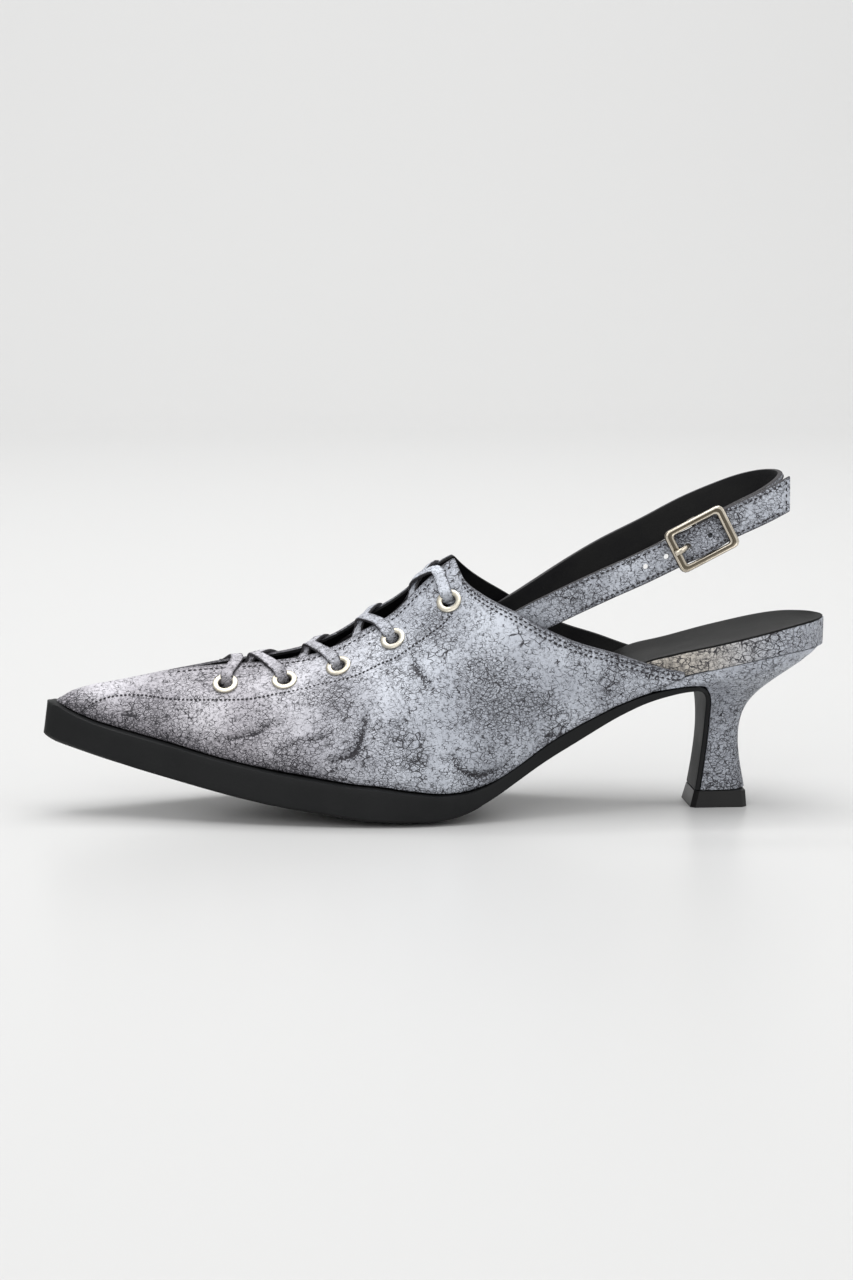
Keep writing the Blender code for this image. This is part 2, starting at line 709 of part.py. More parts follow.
def build_eyelets(mat):
    """Rolled metal eyelets: flange outside, barrel through the wall."""
    foot = -(UPPER_WALL + EYELET_FOOT)
    roll = EYELET_HEIGHT + EYELET_ROLL
    profile = [(EYELET_BARREL, foot), (EYELET_BARREL, GAP), (EYELET_RADIUS, GAP),
               (0.93 * EYELET_RADIUS, 0.75 * EYELET_HEIGHT), (0.78 * EYELET_RADIUS, roll),
               (EYELET_BORE + EYELET_ROLL, EYELET_HEIGHT), (EYELET_BORE, foot)]
    for number, side, spot, normal in eyelet_places():
        turn = Matrix.Translation(spot) @ normal.to_track_quat("Z", "Y").to_matrix().to_4x4()
        verts, faces = [], []
        for i in range(EYELET_SIDES):
            angle = 2 * math.pi * i / EYELET_SIDES
            verts += [turn @ Vector((r * math.cos(angle), r * math.sin(angle), h)) for r, h in profile]
        rim = len(profile)
        for i in range(EYELET_SIDES):
            j = (i + 1) % EYELET_SIDES
            for k in range(rim):
                n = (k + 1) % rim
                faces.append((i * rim + k, j * rim + k, j * rim + n, i * rim + n))
        finish(f"eyelet_{'lateral' if side < 0 else 'medial'}_{number}", verts, faces, mat)


def ribbon(name, spots, normals, width, thickness, mat, end_cut=0.0):
    """Flat strip with eased edges along a route; end_cut shears its last section."""
    rings = []
    ease = 0.3 * thickness
    for i, spot in enumerate(spots):
        tangent = (spots[min(i + 1, len(spots) - 1)] - spots[max(i - 1, 0)]).normalized()
        normal = (normals[i] - normals[i].dot(tangent) * tangent).normalized()
        across = tangent.cross(normal)
        w, t = 0.5 * width, 0.5 * thickness
        ring = []
        for a, n in ((-w, -t + ease), (-w, t - ease), (-w + ease, t), (w - ease, t), (w, t - ease),
                     (w, -t + ease), (w - ease, -t), (-w + ease, -t)):
            shear = tangent * (-end_cut * a) if i == len(spots) - 1 else Vector()
            ring.append(spot + across * a + normal * n + shear)
        rings.append(ring)
    return loft(name, rings, mat)


def spline(route, steps):
    """Points along a Catmull-Rom curve through a route."""
    out = []
    for i in range(len(route) - 1):
        a = route[max(i - 1, 0)]
        b, c = route[i], route[i + 1]
        d = route[min(i + 2, len(route) - 1)]
        for k in range(steps):
            t = k / steps
            out.append(0.5 * ((2 * b) + (c - a) * t + (2 * a - 5 * b + 4 * c - d) * t * t
                              + (3 * b - a - 3 * c + d) * t**3))
    out.append(route[-1])
    return out


def buckle_frame_axes():
    along = Vector((math.cos(BUCKLE_TILT) * math.cos(BUCKLE_YAW), math.sin(BUCKLE_YAW),
                    math.sin(BUCKLE_TILT)))
    outward = Vector((0.0, -1.0, 0.0))
    outward = (outward - outward.dot(along) * along).normalized()
    return along, outward, along.cross(outward) * -1.0


def in_buckle(a, n, b=0.0):
    along, outward, up = buckle_frame_axes()
    return strap_place(*BUCKLE_PLACE) + along * a + outward * n + up * b


def tucked(route, side):
    """Moves a strap's hidden start inward until its upper edge clears the quarter's wall."""
    out = []
    for point in route:
        spot = strap_place(*point)
        ahead = share_at(spot.x - 0.5 * STRAP_WIDTH * math.sin(BUCKLE_TILT))
        low_edge = spot.z - 0.5 * STRAP_WIDTH
        if low_edge < topline_height(ahead) and ahead < STATIONS[-1]:
            edge = min(spot.z + 0.5 * STRAP_WIDTH, topline_height(ahead))
            room = inner_half(ahead, side, edge) - 3 * GAP - 0.5 * STRAP_THICKNESS
            spot.y = side * min(abs(spot.y), room)
        out.append(spot)
    return out


def flat_normals(spots):
    """Horizontal normals pointing away from the ankle."""
    out = []
    for i in range(len(spots)):
        tangent = spots[min(i + 1, len(spots) - 1)] - spots[max(i - 1, 0)]
        out.append(tangent.cross(Vector((0.0, 0.0, 1.0))).normalized())
    return out


def strap_depths():
    """How deep the buckle strap's centre lies at the end bars and over the centre bar."""
    under = -(0.5 * FRAME_DEPTH + GAP + 0.5 * STRAP_THICKNESS)
    over = -BAR_SINK + BAR_RADIUS + GAP + FOLD_THICKNESS + GAP + 0.5 * STRAP_THICKNESS
    return under, over


def build_buckle_strap(mat):
    under, over = strap_depths()
    bar = 0.5 * (BUCKLE_LENGTH - END_BAR)
    route = tucked(BUCKLE_STRAP_ROUTE, -1) + near_buckle(BUCKLE_STRAP_APPROACH)
    for place, depth in ((-1.17, under), (-0.87, under), (-0.35, 0.6 * over), (0.0, over),
                         (0.35, 0.6 * over), (0.87, under), (1.17, under)):
        route.append(in_buckle(place * bar, depth))
    route += near_buckle(FREE_END_ROUTE)
    spots = spline(route, 3)
    normals = [Vector((0.0, -1.0, 0.0))] * len(spots)
    strap = ribbon("buckle_strap", spots, normals, STRAP_WIDTH, STRAP_THICKNESS, mat,
                   end_cut=math.tan(BUCKLE_TILT))
    outward = buckle_frame_axes()[1]
    for count in (1, -1, -2):
        reach = PRONG_HOLE * BUCKLE_LENGTH + count * HOLE_PITCH
        spot = nearest(spots, in_buckle(reach, under))
        boolean(strap, cutter(cylinder(f"strap_hole_{count}", HOLE_RADIUS, CUT_REACH, spot, outward, 12)))
    low, high = prong_slope()
    radius = 0.5 * math.hypot(PRONG_WIDTH, PRONG_THICKNESS) + GAP
    tool = cylinder("prong_hole", radius, CUT_REACH, (low + high) / 2, high - low, 14)
    boolean(strap, cutter(tool))
    return strap


def nearest(spots, target):
    """Point on the polyline nearest to a target, measured along its segments."""
    best = None
    for a, b in zip(spots, spots[1:]):
        t = max(0.0, min(1.0, (target - a).dot(b - a) / (b - a).length_squared))
        spot = a.lerp(b, t)
        if best is None or (spot - target).length < (best - target).length:
            best = spot
    return best


def prong_slope():
    """The stretch of the prong that climbs through the strap."""
    hole = PRONG_HOLE * BUCKLE_LENGTH
    low = in_buckle(hole + PRONG_CLIMB, -BAR_SINK + BAR_RADIUS + 0.5 * FOLD_THICKNESS)
    high = in_buckle(hole - PRONG_CLIMB, 0.5 * FRAME_DEPTH + GAP + 0.5 * PRONG_THICKNESS)
    return low, high


def box(name, length, height, depth, mat=None):
    bpy.ops.mesh.primitive_cube_add(size=1.0)
    obj = bpy.context.object
    obj.name = name
    for owner in obj.users_collection:
        owner.objects.unlink(obj)
    shoe.objects.link(obj)
    obj.data.transform(Matrix.Diagonal((length, height, depth, 1.0)))
    if mat:
        obj.data.materials.append(mat)
    return obj


def place_in_buckle(obj, a=0.0, n=0.0, b=0.0):
    along, outward, up = buckle_frame_axes()
    turn = Matrix((along, up, outward)).transposed().to_4x4()
    obj.matrix_world = Matrix.Translation(in_buckle(a, n, b)) @ turn
    return obj


# Section of the buckle's bars: share of the bar's width from the outside, share of the frame's depth
BAR_SECTION = ((0.0, -0.5), (0.0, 0.30), (0.10, 0.5), (0.26, 0.5), (0.36, 0.22), (0.70, 0.22),
               (0.80, 0.40), (0.90, 0.40), (1.0, 0.2), (1.0, -0.5))


def rimmed_frame(name, mat):
    """Rounded rectangular frame with an outer and inner rim and a groove between them."""
    verts, faces = [], []
    for across, depth in BAR_SECTION:
        half_long = 0.5 * BUCKLE_LENGTH - across * END_BAR
        half_high = 0.5 * BUCKLE_HEIGHT - across * SIDE_BAR
        corner = FRAME_CORNER * (1.0 - 0.5 * across)
        for sx, sy, start in ((1, 1, 0), (-1, 1, 90), (-1, -1, 180), (1, -1, 270)):
            for k in range(4):
                angle = math.radians(start + 30 * k)
                x = sx * (half_long - corner) + corner * math.cos(angle)
                y = sy * (half_high - corner) + corner * math.sin(angle)
                verts.append(Vector((x, y, depth * FRAME_DEPTH)))
    count, rows = 16, len(BAR_SECTION)
    for r in range(rows):
        n = (r + 1) % rows
        for i in range(count):
            j = (i + 1) % count
            faces.append((r * count + i, r * count + j, n * count + j, n * count + i))
    return finish(name, verts, faces, mat)


def build_buckle(mat):
    """Centre-bar buckle: rounded frame, sunk bar with its two lugs, and the prong."""
    frame = place_in_buckle(rimmed_frame("buckle_frame", mat))
    lug_reach = 0.5 * BUCKLE_HEIGHT - 0.5 * SIDE_BAR
    lug_depth = BAR_SINK + BAR_RADIUS + LUG_SET
    for side in (-1, 1):
        lug = box(f"lug_{side}", LUG_LENGTH, SIDE_BAR - 2 * LUG_SET, lug_depth, mat)
        place_in_buckle(lug, 0.0, -0.5 * lug_depth, side * lug_reach)
        boolean(frame, cutter(lug), "UNION")
    _, outward, up = buckle_frame_axes()
    bar = cylinder("centre_bar", BAR_RADIUS, 2 * (lug_reach + LUG_SET), in_buckle(0.0, -BAR_SINK), up, 12)
    boolean(frame, cutter(bar), "UNION")

    low, high = prong_slope()
    rest = 0.5 * FRAME_DEPTH + GAP + 0.5 * PRONG_THICKNESS
    tip = 0.5 * BUCKLE_LENGTH - PRONG_SHORT
    ring_mid = BAR_RADIUS + GAP + 0.5 * FOLD_THICKNESS
    spots = [in_buckle(-0.4 * ring_mid, -BAR_SINK + 0.9 * ring_mid), low, high,
             in_buckle(-0.76 * tip, rest), in_buckle(-tip, rest)]
    prong = ribbon("buckle_prong", spots, [outward] * len(spots), PRONG_WIDTH, PRONG_THICKNESS, mat)
    ring = BAR_RADIUS + GAP + FOLD_THICKNESS
    outer = cylinder("prong_ring", ring, PRONG_WIDTH + GAP, in_buckle(0.0, -BAR_SINK), up)
    boolean(prong, cutter(outer), "UNION")
    inner = cylinder("prong_bore", BAR_RADIUS + GAP, 2 * PRONG_WIDTH, in_buckle(0.0, -BAR_SINK), up)
    boolean(prong, cutter(inner))


def build_sling_strap(mat):
    """Strap round the heel, its end folded about the buckle's centre bar."""
    route = tucked(SLING_ROUTE[:HIDDEN_POINTS], 1)
    route += [strap_place(*point) for point in SLING_ROUTE[HIDDEN_POINTS:]] + near_buckle(SLING_APPROACH)
    ring = BAR_RADIUS + GAP + FOLD_THICKNESS
    for place, depth in ((0.30, 1.06), (0.17, 0.71), (0.056, 0.53)):
        route.append(in_buckle(place * BUCKLE_LENGTH, -BAR_SINK - depth * ring))
    spots = spline(route, 3)
    strap = ribbon("sling_strap", spots, flat_normals(spots), STRAP_WIDTH, STRAP_THICKNESS, mat)
    up = buckle_frame_axes()[2]
    outer = cylinder("fold", ring, STRAP_WIDTH - FOLD_SET, in_buckle(0.0, -BAR_SINK), up)
    boolean(strap, cutter(outer), "UNION")
    inner = cylinder("fold_bore", BAR_RADIUS + GAP, 2 * STRAP_WIDTH, in_buckle(0.0, -BAR_SINK), up)
    boolean(strap, cutter(inner))
    slot = box("fold_slot", 4.7 * ring, PRONG_WIDTH + 3 * GAP, 2.6 * ring)
    place_in_buckle(slot, -0.76 * ring, -BAR_SINK + 0.12 * ring)
    boolean(strap, cutter(slot))
    return strap


def lace_point(share, side, setback, lift):
    spot, normal = surface_frame(share, side, setback)
    return spot + normal * lift, normal


def build_laces(mat):
    """Bar over the lowest eyelets and the four crossings above it."""
    lift = LACE_LIFT + 0.5 * LACE_THICKNESS
    reach = EYELETS.rows[0][1] * EYELET_SETBACK - EYELET_RADIUS - LACE_CLEAR
    shares = [row[0] for row in EYELETS.rows]
    spots, normals = [], []
    for side, setback, back in ((-1, 1.0, 0.001), (-1, 0.6, 0.009), (-1, 0.1, 0.014), (1, 0.1, 0.014),
                                (1, 0.6, 0.009), (1, 1.0, 0.001)):
        spot, normal = lace_point(shares[0] + back, side, setback * reach, lift)
        spots.append(spot)
        normals.append(normal)
    ribbon("lace_bar", spots, normals, LACE_WIDTH, LACE_THICKNESS, mat)
    for k in range(4):
        middle = 0.5 * (shares[k] + shares[k + 1])
        strands = []
        for side in (-1, 1):
            ahead, behind = middle - 0.02, middle + 0.02
            grade = (topline_height(behind) - topline_height(ahead)) / (x_at(behind) - x_at(ahead))
            above = Vector((-grade, 0.0, 1.0)).normalized()
            centre = Vector((x_at(middle), 0.0, topline_height(middle))) + above * (lift + GAP)
            start = centre - Vector((LACE_WIDTH * 0.4, side * 0.3 * LACE_WIDTH, LACE_WIDTH * 0.4 * grade))
            spots = [start, centre]
            normals = [above] * 2
            pull = EYELETS.rows[k + 1][1] * EYELET_SETBACK - EYELET_RADIUS - LACE_CLEAR
            run = shares[k + 1] - middle
            edge, normal = surface_frame(middle + 0.12 * run, side, 0.0)
            over = (above + normal).normalized()
            spots.append(edge + over * (lift + GAP))
            normals.append(over)
            for part in (0.3, 0.55, 0.8, 1.0):
                spot, normal = lace_point(middle + 0.9 * part * run, side, part * pull, lift)
                spots.append(spot)
                normals.append(normal)
            name = f"lace_cross_{k + 1}" if side < 0 else f"strand_{k + 1}"
            strands.append(ribbon(name, spots, normals, LACE_WIDTH, LACE_THICKNESS, mat))
        boolean(strands[0], cutter(strands[1]), "UNION")


for old in list(bpy.data.objects):
    bpy.data.objects.remove(old)
shoe = bpy.data.collections.new("lace_up_slingback")
cutters = bpy.data.collections.new("cutters")
bpy.context.scene.collection.children.link(shoe)
bpy.context.scene.collection.children.link(cutters)

crackle = material("crackle_leather", (0.42, 0.45, 0.52), 0.5)
rubber = material("sole_rubber", (0.025, 0.026, 0.028), 0.6)
gloss = material("top_piece_rubber", (0.012, 0.012, 0.013), 0.3)
lining = material("insole_leather", (0.05, 0.05, 0.052), 0.4)
nickel = material("aged_nickel", (0.55, 0.50, 0.43), 0.32, 1.0)
silver = material("eyelet_silver", (0.80, 0.78, 0.72), 0.3, 1.0)

build_outsole(rubber)
build_insole(lining)
build_seat_wrap(crackle)
build_upper(crackle)
build_heel(crackle)
build_top_piece(gloss)
build_eyelets(silver)
build_laces(crackle)
build_buckle_strap(crackle)
build_sling_strap(crackle)
build_buckle(nickel)
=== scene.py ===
import json
import math

import bmesh
import bpy
import numpy as np
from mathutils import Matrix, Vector
from mathutils.bvhtree import BVHTree

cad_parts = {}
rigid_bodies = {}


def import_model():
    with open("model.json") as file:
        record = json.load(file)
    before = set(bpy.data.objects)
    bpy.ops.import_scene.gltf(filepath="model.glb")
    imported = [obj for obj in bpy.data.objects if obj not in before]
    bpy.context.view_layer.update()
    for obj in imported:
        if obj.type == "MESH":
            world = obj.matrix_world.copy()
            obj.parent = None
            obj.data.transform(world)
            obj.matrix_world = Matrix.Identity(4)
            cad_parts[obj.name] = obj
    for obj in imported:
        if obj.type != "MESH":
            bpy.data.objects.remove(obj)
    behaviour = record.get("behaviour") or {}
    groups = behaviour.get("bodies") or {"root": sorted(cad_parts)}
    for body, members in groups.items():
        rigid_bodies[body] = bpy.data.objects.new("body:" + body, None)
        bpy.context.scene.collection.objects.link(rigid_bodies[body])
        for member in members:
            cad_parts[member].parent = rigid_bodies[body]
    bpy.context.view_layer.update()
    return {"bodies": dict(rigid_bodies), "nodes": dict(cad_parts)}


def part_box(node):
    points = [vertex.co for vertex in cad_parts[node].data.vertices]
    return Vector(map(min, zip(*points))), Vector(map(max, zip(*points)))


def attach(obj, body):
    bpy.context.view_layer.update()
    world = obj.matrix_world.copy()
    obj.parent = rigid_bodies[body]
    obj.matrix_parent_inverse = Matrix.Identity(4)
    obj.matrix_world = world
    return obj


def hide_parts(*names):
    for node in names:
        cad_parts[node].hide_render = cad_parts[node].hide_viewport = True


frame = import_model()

# Laced slingback for the left foot: toe along -X, buckle side along -Y, the heel's foot at the origin
mm = 0.001
scene = bpy.context.scene
body = next(iter(frame["bodies"]))

shoe = {
    "tip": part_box("outsole")[0].x,
    "back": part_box("insole")[1].x,
    "ball": 75.5 * mm,
    "instep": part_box("upper")[1].z,
    "gap": 0.3 * mm,
}
shoe["length"] = shoe["back"] - shoe["tip"]


def xAt(share):
    return shoe["tip"] + share * shoe["length"]


def shareAt(x):
    return (x - shoe["tip"]) / shoe["length"]


# Node helpers

def addNode(tree, kind, values=None, **settings):
    # a value that is a socket is linked, any other is set
    made = tree.nodes.new(kind)
    for key, value in settings.items():
        setattr(made, key, value)
    for key, value in (values or {}).items():
        if isinstance(value, bpy.types.NodeSocket):
            tree.links.new(value, made.inputs[key])
        else:
            made.inputs[key].default_value = value
    return made


def smoothMask(tree, value, low, high):
    # 0 below low, 1 above high, or the other way round when low is the larger
    made = addNode(tree, "ShaderNodeMapRange", {"Value": value, "From Min": low, "From Max": high},
                   interpolation_type="SMOOTHSTEP")
    return made.outputs["Result"]


def maths(tree, operation, a, b=0.0):
    return addNode(tree, "ShaderNodeMath", {0: a, 1: b}, operation=operation).outputs[0]


def add(tree, a, b):
    return maths(tree, "ADD", a, b)


def scaled(tree, a, b):
    return maths(tree, "MULTIPLY", a, b)


def mixColour(tree, factor, a, b):
    return addNode(tree, "ShaderNodeMix", {0: factor, 6: a, 7: b}, data_type="RGBA").outputs[2]


def noise(tree, vector, scale, detail=2.0, roughness=0.5, output="Fac"):
    made = addNode(tree, "ShaderNodeTexNoise", {"Vector": vector, "Scale": scale, "Detail": detail,
                                                "Roughness": roughness})
    return made.outputs[output]


def cracks(tree, vector, scale, width):
    # lines between cells, full over the inner third of their width
    cells = addNode(tree, "ShaderNodeTexVoronoi", {"Vector": vector, "Scale": scale},
                    feature="DISTANCE_TO_EDGE")
    return smoothMask(tree, cells.outputs["Distance"], width, scaled(tree, width, 0.3))


def newGroup(name, inputs, outputs):
    tree = bpy.data.node_groups.new(name, "ShaderNodeTree")
    for label, kind, value in inputs:
        socket = tree.interface.new_socket(label, in_out="INPUT", socket_type="NodeSocket" + kind)
        if value is not None:
            socket.default_value = value
    for label, kind in outputs:
        tree.interface.new_socket(label, in_out="OUTPUT", socket_type="NodeSocket" + kind)
    return tree, tree.nodes.new("NodeGroupInput"), tree.nodes.new("NodeGroupOutput")


def useGroup(tree, group, values):
    return addNode(tree, "ShaderNodeGroup", values, node_tree=group)


def newMaterial(name):
    made = bpy.data.materials.new(name)
    made.use_nodes = True
    tree = made.node_tree
    shader = tree.nodes["Principled BSDF"]
    place = addNode(tree, "ShaderNodeTexCoord").outputs["Object"]
    return made, tree, shader, place


def bumpInto(tree, shader, height, distance):
    bump = addNode(tree, "ShaderNodeBump", {"Height": height, "Distance": distance, "Strength": 1.0})
    tree.links.new(bump.outputs["Normal"], shader.inputs["Normal"])


def roughenInto(tree, shader, value, roughness, low=0.0, high=1.0):
    # roughness runs from its first to its second number as the value goes from low to high
    rough = addNode(tree, "ShaderNodeMapRange", {"Value": value, "From Min": low, "From Max": high,
                                                 "To Min": roughness[0], "To Max": roughness[1]})
    tree.links.new(rough.outputs["Result"], shader.inputs["Roughness"])


# Finish that cracks over a black base: three networks of lines, specks, folds and worn rims.
# Scales are cells to a metre, widths shares of a cell. A layer fades in between its two levels
crackLook = {
    "bend": (420.0, 0.0011),
    "network": {"scale": 980.0, "width": 0.092, "soilAndShadeWidth": 0.02, "creaseWidth": 0.13, "least": 0.03,
                "stretch": 0.62, "shown": (0.43, 0.60), "worn": (0.38, 0.6)},
    "fine": {"scale": 1900.0, "width": 0.15, "strength": 0.65, "shown": (0.46, 0.64)},
    "coarse": {"scale": 470.0, "width": 0.065, "soilAndShade": 0.15, "shown": (0.52, 0.63)},
    "dots": {"scale": 1500.0, "strength": 0.85, "shown": (0.62, 0.69)},
    "folds": (0.64, 0.74),
    "rims": {"strength": 0.8, "shown": (0.72, 1.0)},
    "fields": (58.0, 0.28),
    "soilAndShadeDensity": 0.19,
    "soilShade": 0.16,
    "edgeSoil": 0.8,
    "ragged": (1400.0, 1.6, 1.2),
    "cloud": 42.0,
    "grain": 1500.0,
}


def crackedFinishGroup():
    look = crackLook
    tree, start, end = newGroup("crackedFinish", [
        ("Vector", "Vector", None), ("Scale", "Float", 1.0), ("SoilAndShade", "Float", 0.0),
        ("Crease", "Float", 0.0), ("Edge", "Float", 0.0), ("Turn", "Vector", (0.0, 0.5, 0.0)),
    ], [("Crack", "Float"), ("Tone", "Float"), ("Height", "Float")])
    sized = addNode(tree, "ShaderNodeVectorMath", {0: start.outputs["Vector"]}, operation="SCALE")
    tree.links.new(start.outputs["Scale"], sized.inputs["Scale"])
    base = sized.outputs[0]
    wobble = noise(tree, base, look["bend"][0], 3.0, 0.6, "Color")
    centred = addNode(tree, "ShaderNodeVectorMath", {0: wobble, 1: (0.5, 0.5, 0.5)}, operation="SUBTRACT")
    small = addNode(tree, "ShaderNodeVectorMath", {0: centred.outputs[0], "Scale": look["bend"][1]},
                    operation="SCALE")
    bent = addNode(tree, "ShaderNodeVectorMath", {0: base, 1: small.outputs[0]}).outputs[0]
    crease, edge = start.outputs["Crease"], start.outputs["Edge"]
    # the soil mark holds real soil and, on the heel and the toe's top, painted shade and painted highlight;
    # it thickens the cracks and darkens the tone
    soilAndShade = add(tree, start.outputs["SoilAndShade"], scaled(tree, edge, look["edgeSoil"]))
    fieldScale, fieldStrength = look["fields"]
    field = maths(tree, "SUBTRACT", noise(tree, base, fieldScale, 3.0, 0.55), 0.5)
    dense = add(tree, scaled(tree, soilAndShade, look["soilAndShadeDensity"]), scaled(tree, field, fieldStrength))
    raggedScale, raggedCrease, raggedRim = look["ragged"]
    ragged = maths(tree, "SUBTRACT", noise(tree, bent, raggedScale, 3.0, 0.7), 0.5)
    worn = add(tree, crease, scaled(tree, ragged, raggedCrease))
    turned = addNode(tree, "ShaderNodeMapping", {"Vector": bent, "Rotation": start.outputs["Turn"],
                                                 "Scale": (look["network"]["stretch"], 1.0, 1.0)}).outputs[0]
    # lines widen with soil and painted shade, and beside creases
    lines = look["network"]
    wide = add(tree, scaled(tree, soilAndShade, lines["soilAndShadeWidth"]), scaled(tree, crease, lines["creaseWidth"]))
    wide = maths(tree, "MAXIMUM", add(tree, wide, lines["width"]), lines["least"])
    network = cracks(tree, turned, lines["scale"], wide)
    patches = add(tree, noise(tree, base, 520.0, 4.0, 0.65), dense)
    shown = maths(tree, "MAXIMUM", smoothMask(tree, patches, *lines["shown"]),
                  smoothMask(tree, worn, *lines["worn"]))
    network = scaled(tree, network, shown)
    lines = look["fine"]
    fine = cracks(tree, bent, lines["scale"], lines["width"])
    flecks = add(tree, noise(tree, base, 900.0, 3.0, 0.6), dense)
    fine = scaled(tree, fine, scaled(tree, smoothMask(tree, flecks, *lines["shown"]), lines["strength"]))
    lines = look["coarse"]
    coarse = cracks(tree, turned, lines["scale"], lines["width"])
    bands = add(tree, noise(tree, base, 75.0, 3.0, 0.55), scaled(tree, soilAndShade, lines["soilAndShade"]))
    coarse = scaled(tree, coarse, smoothMask(tree, bands, *lines["shown"]))
    specks = look["dots"]
    dots = add(tree, noise(tree, bent, specks["scale"], 2.0, 0.6), scaled(tree, dense, 0.5))
    dots = scaled(tree, smoothMask(tree, dots, *specks["shown"]), specks["strength"])
    folds = smoothMask(tree, worn, *look["folds"])
    rims = add(tree, edge, scaled(tree, ragged, raggedRim))
    rims = scaled(tree, smoothMask(tree, rims, *look["rims"]["shown"]), look["rims"]["strength"])
    crack = network
    for layer in (coarse, fine, dots, folds, rims):
        crack = maths(tree, "MAXIMUM", crack, layer)
    grain = noise(tree, base, look["grain"], 2.0, 0.6)
    cloud = scaled(tree, noise(tree, base, look["cloud"], 4.0, 0.6), 0.75)
    tone = add(tree, cloud, scaled(tree, grain, 0.25))
    tone = maths(tree, "SUBTRACT", tone, scaled(tree, soilAndShade, look["soilShade"]))
    height = maths(tree, "SUBTRACT", scaled(tree, grain, 0.45), scaled(tree, crack, 0.8))
    tree.links.new(crack, end.inputs["Crack"])
    tree.links.new(tone, end.inputs["Tone"])
    tree.links.new(height, end.inputs["Height"])
    return tree


# Fine grain of smooth leather, rubber and thread

def fineGrainGroup():
    tree, start, end = newGroup("fineGrain", [
        ("Vector", "Vector", None), ("Scale", "Float", 900.0),
    ], [("Grain", "Float"), ("Cloud", "Float")])
    pores = addNode(tree, "ShaderNodeTexVoronoi", {"Vector": start.outputs["Vector"],
                                                   "Scale": start.outputs["Scale"]})
    grit = noise(tree, start.outputs["Vector"], start.outputs["Scale"], 3.0, 0.6)
    grain = add(tree, scaled(tree, pores.outputs["Distance"], 0.5), grit)
    cloud = noise(tree, start.outputs["Vector"], 55.0, 3.0, 0.55)
    tree.links.new(grain, end.inputs["Grain"])
    tree.links.new(cloud, end.inputs["Cloud"])
    return tree


crackedFinish = crackedFinishGroup()
fineGrain = fineGrainGroup()

leatherLook = {
    "light": (0.575, 0.608, 0.672, 1.0),
    "dark": (0.38, 0.402, 0.452, 1.0),
    "warmLight": (0.588, 0.573, 0.612, 1.0),
    "warmDark": (0.37, 0.354, 0.388, 1.0),
    "crack": (0.018, 0.017, 0.022, 1.0),
    "roughness": (0.44, 0.62),
    "relief": 0.16 * mm,
}


def crackleLeather(name, soilAndShade=0.0, scale=1.0, turn=0.5, warmFrom=-0.165, warmTo=-0.095, tint=None):
    look = leatherLook
    made, tree, shader, place = newMaterial(name)
    marks = {key: addNode(tree, "ShaderNodeAttribute", attribute_name=key).outputs["Fac"]
             for key in ("soilAndShade", "crease", "edge")}
    # soil mark plus the piece's own soil; the heel's painted shade and the toe's painted highlight come in
    # through it
    soilAndShadeSum = add(tree, marks["soilAndShade"], soilAndShade)
    finish = useGroup(tree, crackedFinish, {"Vector": place, "Scale": scale, "SoilAndShade": soilAndShadeSum,
                                            "Crease": marks["crease"], "Edge": marks["edge"],
                                            "Turn": (0.0, turn, 0.0)})
    tone = smoothMask(tree, finish.outputs["Tone"], 0.34, 0.66)
    cool = mixColour(tree, tone, look["dark"], look["light"])
    warm = mixColour(tree, tone, look["warmDark"], look["warmLight"])
    along = addNode(tree, "ShaderNodeSeparateXYZ", {0: place}).outputs["X"]
    colour = mixColour(tree, smoothMask(tree, along, warmFrom, warmTo), warm, cool)
    if tint:
        front = smoothMask(tree, along, tint["from"], tint["to"])
        colour = mixColour(tree, front, tint["colour"], colour)
    colour = mixColour(tree, finish.outputs["Crack"], colour, look["crack"])
    tree.links.new(colour, shader.inputs["Base Color"])
    roughenInto(tree, shader, finish.outputs["Crack"], look["roughness"])
    shader.inputs["Specular IOR Level"].default_value = 0.45
    bumpInto(tree, shader, finish.outputs["Height"], look["relief"])
    return made


def plainLook(name, dark, light, roughness, scale, relief, coat=0.0, metallic=0.0, specular=0.5):
    # grained one-colour finish: clouds shift its colour and roughness, grain its bump
    made, tree, shader, place = newMaterial(name)
    grain = useGroup(tree, fineGrain, {"Vector": place, "Scale": scale})
    cloud = smoothMask(tree, grain.outputs["Cloud"], 0.35, 0.65)
    tree.links.new(mixColour(tree, cloud, (*dark, 1.0), (*light, 1.0)), shader.inputs["Base Color"])
    roughenInto(tree, shader, grain.outputs["Cloud"], roughness, 0.3, 0.7)
    shader.inputs["Metallic"].default_value = metallic
    shader.inputs["Coat Weight"].default_value = coat
    shader.inputs["Coat Roughness"].default_value = 0.25
    shader.inputs["Specular IOR Level"].default_value = specular
    bumpInto(tree, shader, grain.outputs["Grain"], relief)
    return made


def agedMetal(name, bright, dull, recess, roughness):
    # the recess attribute darkens grooves: on the buckle where the plating has toned, in the eyelets' bores
    # as painted shade
    made, tree, shader, place = newMaterial(name)
    grain = useGroup(tree, fineGrain, {"Vector": place, "Scale": 1800.0})
    cloud = smoothMask(tree, grain.outputs["Cloud"], 0.3, 0.7)
    colour = mixColour(tree, cloud, (*dull, 1.0), (*bright, 1.0))
    groove = addNode(tree, "ShaderNodeAttribute", attribute_name="recess").outputs["Fac"]
    colour = mixColour(tree, groove, colour, (*recess, 1.0))
    tree.links.new(colour, shader.inputs["Base Color"])
    roughenInto(tree, shader, groove, roughness)
    shader.inputs["Metallic"].default_value = 1.0
    bumpInto(tree, shader, grain.outputs["Grain"], 0.02 * mm)
    return made


